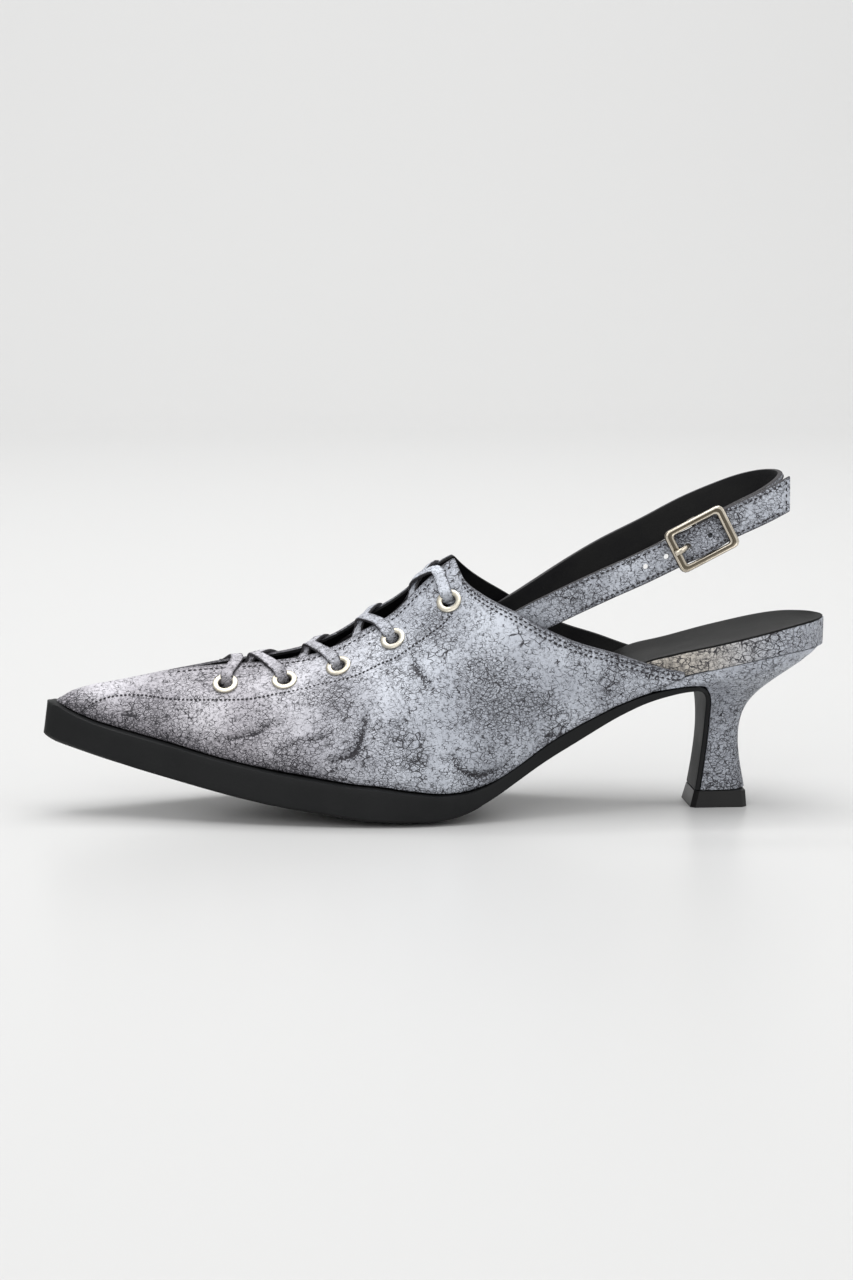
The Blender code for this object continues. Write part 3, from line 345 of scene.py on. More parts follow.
uppers = crackleLeather("crackleLeather")
strapLeather = crackleLeather("crackleStrap", soilAndShade=0.16)
laceLeather = crackleLeather("crackleLace", soilAndShade=-0.08, scale=1.1)
heelLeather = crackleLeather("crackleHeel", soilAndShade=0.03, scale=0.9, turn=1.2)
wrapLeather = crackleLeather("crackleWrap", soilAndShade=0.27, scale=0.72, turn=1.35,
                             tint={"from": -0.018, "to": 0.022, "colour": (0.53, 0.49, 0.435, 1.0)})
lining = plainLook("liningBlack", (0.005, 0.005, 0.006), (0.010, 0.010, 0.010), (0.5, 0.65), 1500.0,
                   0.05 * mm, specular=0.15)
rawEdge = plainLook("rawEdgeBlack", (0.014, 0.013, 0.015), (0.032, 0.030, 0.034), (0.6, 0.8), 1300.0,
                    0.12 * mm)
insoleLeather = plainLook("insoleLeather", (0.007, 0.007, 0.007), (0.012, 0.012, 0.012), (0.50, 0.60),
                          1600.0, 0.04 * mm, specular=0.10)
soleRubber = plainLook("soleRubber", (0.0065, 0.007, 0.0075), (0.0095, 0.010, 0.0105), (0.5, 0.62), 2400.0,
                       0.03 * mm, specular=0.19)
heelRubber = plainLook("heelRubber", (0.006, 0.006, 0.006), (0.009, 0.009, 0.009), (0.34, 0.44), 1800.0,
                       0.02 * mm, specular=0.3)
threadDark = plainLook("threadDark", (0.010, 0.009, 0.012), (0.026, 0.024, 0.030), (0.6, 0.8), 5200.0,
                       0.05 * mm)
buckleMetal = agedMetal("agedNickel", (0.72, 0.66, 0.56), (0.50, 0.45, 0.37), (0.135, 0.115, 0.085),
                        (0.26, 0.42))
# its near-black recess colour is painted shade inside the bore
eyeletMetal = agedMetal("eyeletSilver", (0.53, 0.505, 0.44), (0.44, 0.41, 0.34), (0.012, 0.011, 0.010),
                        (0.38, 0.5))
print("finishes made")


# Pieces refined from the frame's own solids

def settle(piece, slot, *nodes):
    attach(piece, body)
    if nodes:
        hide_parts(*nodes)
    return piece


def newPiece(name, mesh, materials):
    piece = bpy.data.objects.new(name, mesh)
    scene.collection.objects.link(piece)
    looks = [face.material_index for face in mesh.polygons]
    mesh.materials.clear()
    for look in materials:
        mesh.materials.append(look)
    mesh.polygons.foreach_set("material_index", looks if len(materials) > 1 else [0] * len(looks))
    return piece


def pointValues(mesh, name, values):
    mesh.attributes.new(name, "FLOAT", "POINT").data.foreach_set("value", values)


def bakeModifiers(piece):
    # turns the evaluated piece into its plain mesh
    bpy.context.view_layer.update()
    done = bpy.data.meshes.new_from_object(piece.evaluated_get(bpy.context.evaluated_depsgraph_get()))
    piece.modifiers.clear()
    piece.data = done
    return piece


def refined(node, name, materials, levels=2, sharp=35.0, edge=0.35 * mm, reshape=None):
    # merged copy of a solid, its quads found again, subdivided, with eased edges
    mesh = frame["nodes"][node].data.copy()
    work = bmesh.new()
    work.from_mesh(mesh)
    bmesh.ops.remove_doubles(work, verts=work.verts[:], dist=0.001 * mm)
    work.normal_update()
    if reshape:
        moved = [(corner, reshape(corner.co.copy(), corner.normal.copy())) for corner in work.verts]
        for corner, spot in moved:
            corner.co = spot
    if levels:
        bmesh.ops.join_triangles(work, faces=work.faces[:], angle_face_threshold=math.radians(25),
                                 angle_shape_threshold=math.radians(70))
        hard = work.edges.layers.float.new("crease_edge")
        for line in work.edges:
            if len(line.link_faces) == 2 and line.calc_face_angle() > math.radians(sharp):
                line[hard] = 1.0
    work.to_mesh(mesh)
    work.free()
    piece = newPiece(name, mesh, materials)
    if levels:
        smoother = piece.modifiers.new("smooth", "SUBSURF")
        smoother.levels = smoother.render_levels = levels
        easing = piece.modifiers.new("ease", "BEVEL")
        easing.width = edge
        easing.segments = 2
        easing.limit_method = "ANGLE"
        easing.angle_limit = math.radians(sharp)
        bakeModifiers(piece)
    piece.data.shade_smooth()
    piece.data.set_sharp_from_angle(angle=math.radians(sharp))
    return piece


bottom = {
    "flareHeight": 17.0 * mm,
    "flare": 1.9 * mm,
    "collarFrom": -52.0 * mm,
    "collarTo": -40.0 * mm,
    "collarRise": 1.45 * mm,
    "insoleInset": 0.5 * mm,
    "toeReach": 9.0 * mm,
    "toeFrom": 26.5 * mm,
    "toeWall": 9.9 * mm,
    "toeLean": 1.4 * mm,
    "toeDrop": 0.8 * mm,
    # painted shade on the heel: none above the first height, full below the second, at the strength after
    "paintedShadeFrom": 46.0 * mm,
    "paintedShadeTo": 22.0 * mm,
    "heelPaintedShade": 0.55,
}


def flareHeel(spot, normal):
    # the covered heel widens backwards down to its top piece
    share = max(0.0, 1.0 - spot.z / bottom["flareHeight"])
    return spot + Vector((bottom["flare"] * share**1.5 if spot.x > 0.0 else 0.0, 0.0, 0.0))


def seatShare(spot):
    # 0 under the upper, 1 on the open seat
    reach = bottom["collarTo"] - bottom["collarFrom"]
    return min(1.0, max(0.0, (spot.x - bottom["collarFrom"]) / reach))


def raiseCover(spot, normal):
    # the seat's cover folds up round the insole's edge
    return spot + Vector((0.0, 0.0, bottom["collarRise"] * seatShare(spot) if normal.z > 0.25 else 0.0))


def easeToe(spot, normal):
    # the sole's front wall leans back to its worn top edge
    front = max(0.0, 1.0 - (spot.x - shoe["tip"]) / bottom["toeReach"])
    height = min(1.0, max(0.0, (spot.z - bottom["toeFrom"]) / bottom["toeWall"]))
    drop = bottom["toeDrop"] * front**4 * height**3
    return spot + Vector((bottom["toeLean"] * front * height, 0.0, -drop))


def insetInsole(spot, normal):
    flat = Vector((normal.x, normal.y, 0.0))
    return spot - flat * bottom["insoleInset"] * seatShare(spot)


def buildBottom():
    for node, name, look, slot, levels, edge, reshape in (
            ("outsole", "outsole_skin", soleRubber, "sole_rubber", 2, 0.7 * mm, easeToe),
            ("insole", "insole_skin", insoleLeather, "insole_leather", 2, 0.8 * mm, insetInsole),
            ("seat_wrap", "seat_wrap_skin", wrapLeather, "crackle_leather", 2, 0.6 * mm, raiseCover),
            ("heel", "heel_skin", heelLeather, "crackle_leather", 2, 0.35 * mm, flareHeel),
            ("top_piece", "top_piece_skin", heelRubber, "top_piece_rubber", 0, 0.0, None)):
        sharp = 12.0 if levels == 0 else 60.0 if node == "seat_wrap" else 35.0
        piece = refined(node, name, [look], levels, sharp, edge, reshape)
        if node == "heel":
            # painted shade: the heel darkens downwards, its top left light where it faces the overhead light
            reach = bottom["paintedShadeFrom"] - bottom["paintedShadeTo"]
            soilAndShade = [bottom["heelPaintedShade"] * min(1.0, max(0.0, (bottom["paintedShadeFrom"] - v.co.z) / reach))
                    for v in piece.data.vertices]
            pointValues(piece.data, "soilAndShade", soilAndShade)
        settle(piece, slot, node)


buildBottom()
print("bottom pieces refined")


# The upper's sections, as in the solid: shares of the ball width and the instep height, degrees
upper = {
    "wall": 1.5 * mm,
    "rows": 270,
    "steps": 58,
    "toeWall": 0.08,
    "medialPinch": 0.96,
    "throat": 0.1612,
    "corner": 0.5219,
    "fold": 0.35 * mm,
}
upperColumns = ("share", "lateral", "medial", "gap", "top", "lean", "slope")
upperRows = [
    (0.0177, 0.034, 0.034, 0.000, 0.450, 0, 0),
    (0.0250, 0.056, 0.056, 0.000, 0.462, 4, 2),
    (0.0354, 0.074, 0.075, 0.000, 0.482, 6, 4),
    (0.0612, 0.109, 0.111, 0.000, 0.506, 8, 6),
    (0.0958, 0.152, 0.158, 0.000, 0.525, 10, 8),
    (0.1304, 0.193, 0.204, 0.000, 0.545, 10, 10),
    (0.1612, 0.229, 0.244, 0.000, 0.563, 10, 12),
    (0.1965, 0.273, 0.291, 0.011, 0.577, 10, 14),
    (0.2231, 0.305, 0.326, 0.021, 0.586, 10, 15),
    (0.2573, 0.340, 0.367, 0.029, 0.594, 10, 16),
    (0.2865, 0.368, 0.396, 0.034, 0.603, 11, 18),
    (0.3281, 0.405, 0.429, 0.041, 0.622, 12, 20),
    (0.3688, 0.434, 0.450, 0.046, 0.665, 13, 24),
    (0.4073, 0.454, 0.453, 0.052, 0.732, 14, 30),
    (0.4458, 0.468, 0.442, 0.056, 0.803, 14, 37),
    (0.4842, 0.464, 0.423, 0.058, 0.909, 14, 44),
    (0.5092, 0.450, 0.405, 0.061, 0.976, 13, 49),
    (0.5219, 0.442, 0.397, 0.064, 1.000, 13, 50),
    (0.5335, 0.436, 0.389, 0.074, 1.021, 13, 51),
    (0.5496, 0.426, 0.377, 0.100, 1.039, 13, 54),
    (0.5688, 0.416, 0.366, 0.150, 1.051, 13, 59),
    (0.5958, 0.398, 0.352, 0.215, 1.033, 13, 68),
    (0.6327, 0.374, 0.334, 0.285, 0.974, 11, 79),
    (0.6742, 0.346, 0.315, 0.325, 0.879, 9, 86),
    (0.7185, 0.323, 0.300, 0.330, 0.772, 7, 89),
    (0.7558, 0.307, 0.287, 0.321, 0.689, 5, 92),
    (0.7854, 0.301, 0.286, 0.310, 0.641, 4, 91),
    (0.8073, 0.297, 0.286, 0.302, 0.618, 3, 90),
]
toplineColumns = ("share", "lateral", "medial")
toplineRows = [
    (0.5219, 1.000, 1.000),
    (0.5269, 0.957, 0.985),
    (0.5335, 0.914, 0.963),
    (0.5496, 0.875, 0.918),
    (0.5688, 0.842, 0.874),
    (0.5958, 0.802, 0.822),
    (0.6327, 0.739, 0.750),
    (0.6742, 0.684, 0.687),
    (0.7185, 0.643, 0.643),
    (0.7558, 0.602, 0.602),
    (0.7854, 0.575, 0.575),
    (0.8073, 0.561, 0.561),
]


def between(rows, columns, column, share):
    # smooth monotone reading of one column
    k = columns.index(column)
    xs = [row[0] for row in rows]
    ys = [row[k] for row in rows]
    share = min(max(share, xs[0]), xs[-1])
    steps = [b - a for a, b in zip(xs, xs[1:])]
    grades = [(b - a) / step for a, b, step in zip(ys, ys[1:], steps)]
    slopes = [grades[0]]
    for before, after in zip(grades, grades[1:]):
        slopes.append(0.0 if before * after <= 0 else 2.0 * before * after / (before + after))
    slopes.append(grades[-1])
    i = max(0, min(len(steps) - 1, int(np.searchsorted(xs, share)) - 1))
    t = (share - xs[i]) / steps[i]
    rise = (2 * t**3 - 3 * t**2 + 1) * ys[i] + (3 * t**2 - 2 * t**3) * ys[i + 1]
    bend = (t**3 - 2 * t**2 + t) * slopes[i] + (t**3 - t**2) * slopes[i + 1]
    return rise + steps[i] * bend


def upperAt(column, share):
    return between(upperRows, upperColumns, column, share)


def restLine():
    # height that carries the upper's lower edge, found by dropping rays on the sole and heel
    trees = []
    for node in ("outsole", "heel"):
        mesh = frame["nodes"][node].data
        trees.append(BVHTree.FromPolygons([v.co for v in mesh.vertices],
                                          [tuple(p.vertices) for p in mesh.polygons]))
    shares = np.linspace(0.005, upperRows[-1][0] + 0.03, 420)
    heights = []
    for share in shares:
        above = Vector((xAt(share), 0.0, 0.2))
        hits = [tree.ray_cast(above, Vector((0.0, 0.0, -1.0)))[0] for tree in trees]
        heights.append(max(hit.z for hit in hits if hit))
    heights = np.array(heights)
    for _ in range(12):
        heights[1:-1] = 0.25 * heights[:-2] + 0.5 * heights[1:-1] + 0.25 * heights[2:]
    return shares, heights + shoe["gap"]


restShares, restHeights = restLine()


# The throat as laced: the far edge stands up and the near one is drawn aside, in millimetres
throatColumns = ("share", "rise", "trim")
throatRows = [
    (0.1612, 0.0, 0.0),
    (0.2000, 0.4, 0.4),
    (0.2296, 0.8, 0.7),
    (0.3038, 1.5, 1.3),
    (0.3719, 2.2, 1.9),
    (0.4300, 2.4, 1.9),
    (0.4750, 1.2, 0.6),
    (0.5219, 0.0, 0.0),
]


def throatAt(column, share):
    return between(throatRows, throatColumns, column, share) * mm


def sectionHandles(share, side, inside=False):
    wall = upper["wall"] if inside else 0.0
    front = max(0.0, 1.0 - (share - upperRows[0][0]) / upper["toeWall"])
    place = share + wall * front / shoe["length"]
    rest = np.interp(place, restShares, restHeights)
    half = upperAt("lateral" if side < 0 else "medial", share) * shoe["ball"] - wall
    lean = math.radians(upperAt("lean", share))
    slope = math.radians(upperAt("slope", share))
    gap = upperAt("gap", share) * shoe["ball"]
    top = max(upperAt("top", share) * shoe["instep"], np.interp(share, restShares, restHeights))
    top += throatAt("rise", share) if side > 0 else 0.0
    low = np.array([side * half, rest])
    high = np.array([side * gap * (1.0 if side < 0 else upper["medialPinch"]), top])
    if gap == 0.0:
        high[1] = max(top - wall, rest)
    else:
        high = high - wall * np.array([side * math.sin(slope), math.cos(slope)])
    nose = max(0.0, 1.0 - (share - upperRows[0][0]) / 0.003)
    high[1] += (rest - high[1]) * nose
    reach = np.linalg.norm(high - low)
    start = low + 0.34 * reach * np.array([side * math.sin(lean), math.cos(lean)]) * (1.0 - nose)
    end = high + 0.36 * reach * np.array([side * math.cos(slope), -math.sin(slope)])
    return xAt(place), np.array([low, start, end, high])


def sectionSpots(share, side, places, inside=False):
    x, handles = sectionHandles(share, side, inside)
    t = np.atleast_1d(np.asarray(places, float))[:, None]
    u = 1.0 - t
    flat = u**3 * handles[0] + 3 * u * u * t * handles[1] + 3 * u * t * t * handles[2] + t**3 * handles[3]
    return np.column_stack([np.full(len(t), x), flat])


sampledPlaces = np.linspace(0.0, 1.0, 241)


def heightPlace(share, side, height, inside=False):
    # where along the section its height is reached first
    heights = sectionSpots(share, side, sampledPlaces, inside)[:, 2]
    above = np.nonzero(heights >= height)[0]
    if len(above) == 0:
        return 1.0
    i = max(1, above[0])
    grade = (height - heights[i - 1]) / max(heights[i] - heights[i - 1], 1e-9)
    return float(np.clip(sampledPlaces[i - 1] + grade * (sampledPlaces[1] - sampledPlaces[0]), 0.0, 1.0))


def toplineHeight(share, side):
    return between(toplineRows, toplineColumns, "lateral" if side < 0 else "medial", share) * shoe["instep"]


def toplinePlace(share, side, inside=False):
    if share <= upper["corner"]:
        return 1.0
    return heightPlace(share, side, toplineHeight(share, side), inside)


def setbackPlace(share, side, setback):
    # place on the section a distance down from the throat or topline
    top = toplinePlace(share, side)
    spots = sectionSpots(share, side, np.linspace(top, 0.0, 241))
    walked = np.concatenate([[0.0], np.cumsum(np.linalg.norm(np.diff(spots, axis=0), axis=1))])
    return float(np.interp(setback, walked, np.linspace(top, 0.0, 241)))


def edgeTrim(share, side):
    return throatAt("trim", share) if side < 0 else 0.0


def edgePlace(share, side, inside=False):
    # place of the finished edge: the throat's, then the topline's
    trim = edgeTrim(share, side)
    return setbackPlace(share, side, trim) if trim > 0.0 else toplinePlace(share, side, inside)


def surfaceAt(share, side, place):
    # point, outward normal and downhill direction on the upper
    spot = sectionSpots(share, side, place)[0]
    along = sectionSpots(share + 0.003, side, place)[0] - sectionSpots(share - 0.003, side, place)[0]
    low, high = max(0.0, place - 0.01), min(1.0, place + 0.01)
    down = sectionSpots(share, side, low)[0] - sectionSpots(share, side, high)[0]
    normal = np.cross(along, down) * side
    normal = Vector(normal).normalized()
    if normal.z < -0.2:
        normal.negate()
    return Vector(spot), normal, Vector(down).normalized()


def setbackSpot(share, side, setback, lift=0.0):
    spot, normal, down = surfaceAt(share, side, setbackPlace(share, side, setback))
    return spot + normal * lift, normal, down


# Creases of the worn leather: route as (share of the length, share of the instep height), trough
# half width and depth in millimetres before the factors in wear, and how dark the crack in it is
creases = [
    {"route": [(0.210, 0.31), (0.235, 0.33), (0.264, 0.35), (0.279, 0.38), (0.306, 0.40)],
     "width": 1.1, "depth": 0.42, "dark": 0.70},
    {"route": [(0.285, 0.28), (0.306, 0.31), (0.327, 0.33), (0.356, 0.35)],
     "width": 0.9, "depth": 0.35, "dark": 0.66},
    {"route": [(0.329, 0.32), (0.345, 0.34), (0.365, 0.36)], "width": 0.9, "depth": 0.3, "dark": 0.66},
    {"route": [(0.409, 0.47), (0.400, 0.40), (0.394, 0.33), (0.385, 0.28), (0.365, 0.26), (0.354, 0.24)],
     "width": 1.2, "depth": 0.65, "dark": 0.86},
    {"route": [(0.402, 0.38), (0.427, 0.39), (0.447, 0.40), (0.454, 0.43)],
     "width": 0.9, "depth": 0.25, "dark": 0.62},
    {"route": [(0.461, 0.63), (0.470, 0.58), (0.485, 0.53)], "width": 1.2, "depth": 0.5, "dark": 0.85},
    {"route": [(0.510, 0.30), (0.513, 0.24), (0.528, 0.20), (0.545, 0.19), (0.566, 0.21), (0.582, 0.23)],
     "width": 1.3, "depth": 0.7, "dark": 0.85},
    {"route": [(0.445, 0.23), (0.462, 0.25), (0.476, 0.27)], "width": 0.9, "depth": 0.3, "dark": 0.64},
]
# Soft patches, dark, or lighter where below 0; the lighter one on the toe's top is painted highlight: place
# as above, radius in millimetres and strength
patches = [
    (0.166, 0.33, 11.0, 0.22), (0.364, 0.51, 7.5, 0.62), (0.565, 0.48, 13.0, 0.52),
    (0.490, 0.74, 6.0, 0.65),
    (0.255, 0.39, 7.0, 0.35), (0.040, 0.40, 6.0, 0.45), (0.320, 0.20, 9.0, 0.35), (0.699, 0.50, 8.0, 0.40),
    (0.610, 0.42, 9.0, 0.35), (0.120, 0.34, 8.0, 0.16), (0.441, 0.30, 9.0, 0.20), (0.545, 0.62, 7.0, 0.20),
    # (0.110, 0.49) on the toe's top is painted highlight where the overhead light falls
    (0.575, 0.76, 9.0, -0.45), (0.110, 0.49, 9.0, -0.20), (0.430, 0.44, 8.0, -0.25),
    (0.330, 0.37, 8.0, -0.10),
]
# How wear spreads. The medial side has the same marks, a little lower and further forward
wear = {
    "medialHeight": 0.94,
    "medialShift": 0.012,
    "trough": 1.5,
    "crease": 1.14,
    "creaseReach": 0.95,
    "soilAndShade": 0.35,
    "soilReach": 2.2,
    "topReach": 1.6 * mm,
    "foot": 0.8,
    "footReach": 1.3 * mm,
    "sole": 0.70,
    "soleReach": 5.5 * mm,
    "soleEnd": 0.46,
    "soleEase": 0.30,
}
# Broad swells of the shaped leather: place as above, radius and height in millimetres
swells = [
    (0.350, 0.42, 13.0, 0.55), (0.440, 0.36, 14.0, -0.55), (0.250, 0.37, 9.0, -0.35),
    (0.530, 0.27, 9.0, 0.5), (0.590, 0.50, 16.0, -0.4), (0.300, 0.27, 9.0, 0.4),
]


def smoothRoute(points, steps):
    # Catmull-Rom curve through the points
    pts = [np.array(p, float) for p in points]
    out = []
    for i in range(len(pts) - 1):
        a, b, c, d = pts[max(i - 1, 0)], pts[i], pts[i + 1], pts[min(i + 2, len(pts) - 1)]
        for k in range(steps):
            t = k / steps
            out.append(0.5 * (2 * b + (c - a) * t + (2 * a - 5 * b + 4 * c - d) * t * t
                              + (3 * b - a - 3 * c + d) * t**3))
    out.append(pts[-1])
    return np.array(out)


def markUpper(spots, normals, side):
    # displaces one side's outer points and returns their crease and soil-and-shade marks
    lift = np.zeros(len(spots))
    crease = np.zeros(len(spots))
    soilAndShade = np.zeros(len(spots))
    flip, shift = (1.0, 0.0) if side < 0 else (wear["medialHeight"], wear["medialShift"])

    def spotAt(share, height):
        share = share - shift
        return surfaceAt(share, side, heightPlace(share, side, height * flip * shoe["instep"]))[0]

    for fold in creases:
        route = smoothRoute([spotAt(*point) for point in fold["route"]], 8)
        away = np.linalg.norm(spots[:, None, :] - route[None, :, :], axis=2)
        nearest = away.argmin(axis=1)
        away = away.min(axis=1) / (fold["width"] * mm)
        taper = np.sin(math.pi * np.clip(nearest / (len(route) - 1), 0.04, 0.96)) ** 0.5
        trough = 0.4 * np.exp(-(away - 1.9) ** 2) - np.exp(-away**2)
        lift += wear["trough"] * fold["depth"] * mm * taper * trough
        core = np.exp(-(away / wear["creaseReach"]) ** 2)
        crease = np.maximum(crease, wear["crease"] * fold["dark"] * taper * core)
        soilAndShade += wear["soilAndShade"] * fold["dark"] * taper * np.exp(-(away / wear["soilReach"]) ** 2)
    # patches darken, or lighten where negative; the toe's lighter patch is painted highlight
    for share, height, radius, strength in patches:
        away = np.linalg.norm(spots - np.array(spotAt(share, height)), axis=1) / (radius * mm)
        soilAndShade += strength * np.exp(-away**2)
    for share, height, radius, rise in swells:
        away = np.linalg.norm(spots - np.array(spotAt(share, height)), axis=1) / (radius * mm)
        lift += rise * mm * np.exp(-away**2)
    return spots + normals * lift[:, None], crease, soilAndShade


def buildUpper():
    shares = np.linspace(upperRows[0][0], upperRows[-1][0], upper["rows"])
    front = upperRows[0][0] + (upperRows[3][0] - upperRows[0][0]) * np.linspace(0.0, 1.0, 14) ** 2
    shares = np.unique(np.concatenate([front, shares]))
    steps = upper["steps"]
    grid = {}
    for side in (-1, 1):
        for inside in (False, True):
            rows = [sectionSpots(s, side, edgePlace(s, side, inside) * np.linspace(0, 1, steps + 1), inside)
                    for s in shares]
            grid[side, inside] = np.array(rows)
    outer, inner, marks = [], [], {"crease": [], "soilAndShade": [], "edge": []}
    index = {}
    for side in (-1, 1):
        sheet = grid[side, False]
        across = np.gradient(sheet, axis=1)
        along = np.gradient(sheet, axis=0)
        normals = np.cross(along, across) * -side
        normals /= np.maximum(np.linalg.norm(normals, axis=2, keepdims=True), 1e-12)
        count = sheet.shape[0] * sheet.shape[1]
        moved, crease, soilAndShade = markUpper(sheet.reshape(count, 3), normals.reshape(count, 3), side)
        moved = moved.reshape(sheet.shape)
        fixed = np.zeros(sheet.shape[:2], bool)
        fixed[:, 0] = fixed[0, :] = fixed[-1, :] = fixed[:, -1] = True
        moved[fixed] = sheet[fixed]
        walked = np.linalg.norm(np.diff(sheet, axis=1), axis=2)
        rimColumn = np.zeros((len(shares), 1))
        fromTop = np.concatenate([np.cumsum(walked[:, ::-1], axis=1)[:, ::-1], rimColumn], axis=1)
        fromFoot = np.concatenate([rimColumn, np.cumsum(walked, axis=1)], axis=1)
        openTop = (shares > upper["throat"])[:, None]
        edge = np.where(openTop, np.exp(-fromTop / wear["topReach"]), 0.0)
        edge = np.maximum(edge, wear["foot"] * np.exp(-fromFoot / wear["footReach"]))
        nearSole = np.clip((wear["soleEnd"] - shares) / wear["soleEase"], 0.0, 1.0)[:, None]
        low = wear["sole"] * nearSole * np.exp(-fromFoot / wear["soleReach"])
        soilAndShade = soilAndShade.reshape(sheet.shape[:2]) + low
        crease = crease.reshape(sheet.shape[:2])
        for r in range(len(shares)):
            for s in range(steps + 1):
                shared = s == steps and shares[r] <= upper["throat"]
                key = (r, 0 if shared else side, s)
                if key in index:
                    continue
                index[key] = len(outer)
                outer.append(moved[r, s])
                inner.append(grid[side, True][r, s])
                marks["crease"].append(crease[r, s])
                marks["soilAndShade"].append(min(1.0, soilAndShade[r, s]))
                marks["edge"].append(edge[r, s])
    quads = []
    for r in range(len(shares) - 1):
        for side in (-1, 1):
            for s in range(steps):
                quad = []
                for row, step in ((r, s), (r + 1, s), (r + 1, s + 1), (r, s + 1)):
                    shared = step == steps and shares[row] <= upper["throat"]
                    quad.append(index[row, 0 if shared else side, step])
                quads.append(quad if side < 0 else quad[::-1])
    return wallMesh("upper_skin", outer, inner, quads, marks)


def wallMesh(name, outer, inner, quads, marks):
    # closed wall between two sheets; its rim bulges a little, as a folded edge does
    count = len(outer)
    edges = {}
    inward = {}
    for quad in quads:
        for i, (a, b) in enumerate(zip(quad, quad[1:] + quad[:1])):
            edges[a, b] = (quad[(i + 3) % 4], quad[(i + 2) % 4])
    rim = {}
    for (a, b), (backA, backB) in edges.items():
        if (b, a) in edges:
            continue
        for corner, back in ((a, backA), (b, backB)):
            push = np.array(outer[corner]) - np.array(outer[back])
            inward[corner] = inward.get(corner, 0.0) + push / max(np.linalg.norm(push), 1e-9)
    verts = [tuple(v) for v in outer] + [tuple(v) for v in inner]
    for corner, push in inward.items():
        rim[corner] = len(verts)
        push = push / max(np.linalg.norm(push), 1e-9)
        middle = 0.5 * (np.array(outer[corner]) + np.array(inner[corner]))
        verts.append(tuple(middle + push * upper["fold"]))
    faces = [tuple(quad) for quad in quads]
    looks = [0] * len(faces)
    faces += [tuple(count + i for i in reversed(quad)) for quad in quads]
    looks += [1] * len(quads)
    for a, b in edges:
        if (b, a) not in edges:
            faces += [(b, a, rim[a], rim[b]), (rim[b], rim[a], count + a, count + b)]
            looks += [0, 1]
    mesh = bpy.data.meshes.new(name)
    mesh.from_pydata(verts, [], faces)
    for key, values in marks.items():
        full = np.zeros(len(verts), np.float32)
        full[:count] = values
        if key == "edge":
            full[2 * count:] = 1.0
        pointValues(mesh, key, full)
    mesh.polygons.foreach_set("material_index", looks)
    mesh.validate()
    mesh.shade_smooth()
    mesh.set_sharp_from_angle(angle=math.radians(50))
    return newPiece(name, mesh, [uppers, lining])


# Eyelets: place along the shoe and setback from the throat's edge
eyelets = {
    "shares": (0.2296, 0.3038, 0.3719, 0.4408, 0.5119),
    "setbacks": (0.92, 1.0, 1.0, 1.0, 1.18),
    "setback": 13.0 * mm,
    "radius": 4.2 * mm,
    "bore": 2.3 * mm,
    "barrel": 2.85 * mm,
    "crown": 0.75 * mm,
    "sides": 40,
}


def eyeletFrame(number, side):
    setback = eyelets["setbacks"][number] * eyelets["setback"]
    return setbackSpot(eyelets["shares"][number], side, setback)


def cutWithTubes(piece, places, radius, length):
    # cuts round holes at (spot, direction) pairs
    work = bmesh.new()
    for spot, direction in places:
        turn = direction.to_track_quat("Z", "Y").to_matrix().to_4x4()
        turn.translation = spot
        bmesh.ops.create_cone(work, cap_ends=True, segments=32, radius1=radius, radius2=radius,
                              depth=length, matrix=turn)
    mesh = bpy.data.meshes.new("holes")
    work.to_mesh(mesh)
    work.free()
    tool = newPiece("holes", mesh, [])
    cut = piece.modifiers.new("holes", "BOOLEAN")
    cut.object = tool
    bakeModifiers(piece)
    bpy.data.objects.remove(tool)


def buildEyelets():
    rise, outside = eyelets["crown"], eyelets["radius"]
    foot = -(upper["wall"] + 0.5 * mm)
    bore, barrel = eyelets["bore"], eyelets["barrel"]
    profile = [(barrel, foot), (barrel, 0.02 * mm), (outside, 0.02 * mm)]
    middle, reach, skirt = 0.5 * (outside + bore), 0.5 * (outside - bore), 0.12 * mm
    for k in range(9):
        turn = math.pi * k / 8
        height = skirt + (rise - skirt) * math.sin(turn) ** 0.4
        profile.append((middle + reach * math.cos(turn), height))
    profile += [(bore, 0.0), (bore - 0.12 * mm, foot + 0.3 * mm), (bore, foot)]
    for number in range(5):
        for side in (-1, 1):
            spot, normal, _ = eyeletFrame(number, side)
            turn = normal.to_track_quat("Z", "Y").to_matrix()
            verts, faces, recess = [], [], []
            sides, rim = eyelets["sides"], len(profile)
            for i in range(sides):
                angle = 2 * math.pi * i / sides
                for radius, height in profile:
                    local = Vector((radius * math.cos(angle), radius * math.sin(angle), height))
                    verts.append(spot + turn @ local)
                    # the bore below the leather is marked as recess and painted near-black as shade
                    recess.append(1.0 if height < -0.4 * mm else 0.0)
            for i in range(sides):
                j = (i + 1) % sides
                for k in range(rim):
                    n = (k + 1) % rim
                    faces.append((i * rim + k, j * rim + k, j * rim + n, i * rim + n))
            label = f"{'lateral' if side < 0 else 'medial'}_{number + 1}"
            mesh = bpy.data.meshes.new("eyelet_ring_" + label)
            mesh.from_pydata(verts, [], faces)
            pointValues(mesh, "recess", recess)
            mesh.shade_smooth()
            mesh.set_sharp_from_angle(angle=math.radians(50))
            ring = newPiece("eyelet_ring_" + label, mesh, [eyeletMetal])
            settle(ring, "eyelet_silver", "eyelet_" + label)


upperSkin = buildUpper()
cutWithTubes(upperSkin, [eyeletFrame(number, side)[:2] for number in range(5) for side in (-1, 1)],
             eyelets["barrel"] + 0.1 * mm, 8 * mm)
settle(upperSkin, "crackle_leather", "upper")
print("upper built:", len(upperSkin.data.polygons), "faces")
buildEyelets()
print("eyelets set")


# Flat strips: laces and straps

def stepAt(spots, i):
    return spots[min(i + 1, len(spots) - 1)] - spots[max(i - 1, 0)]


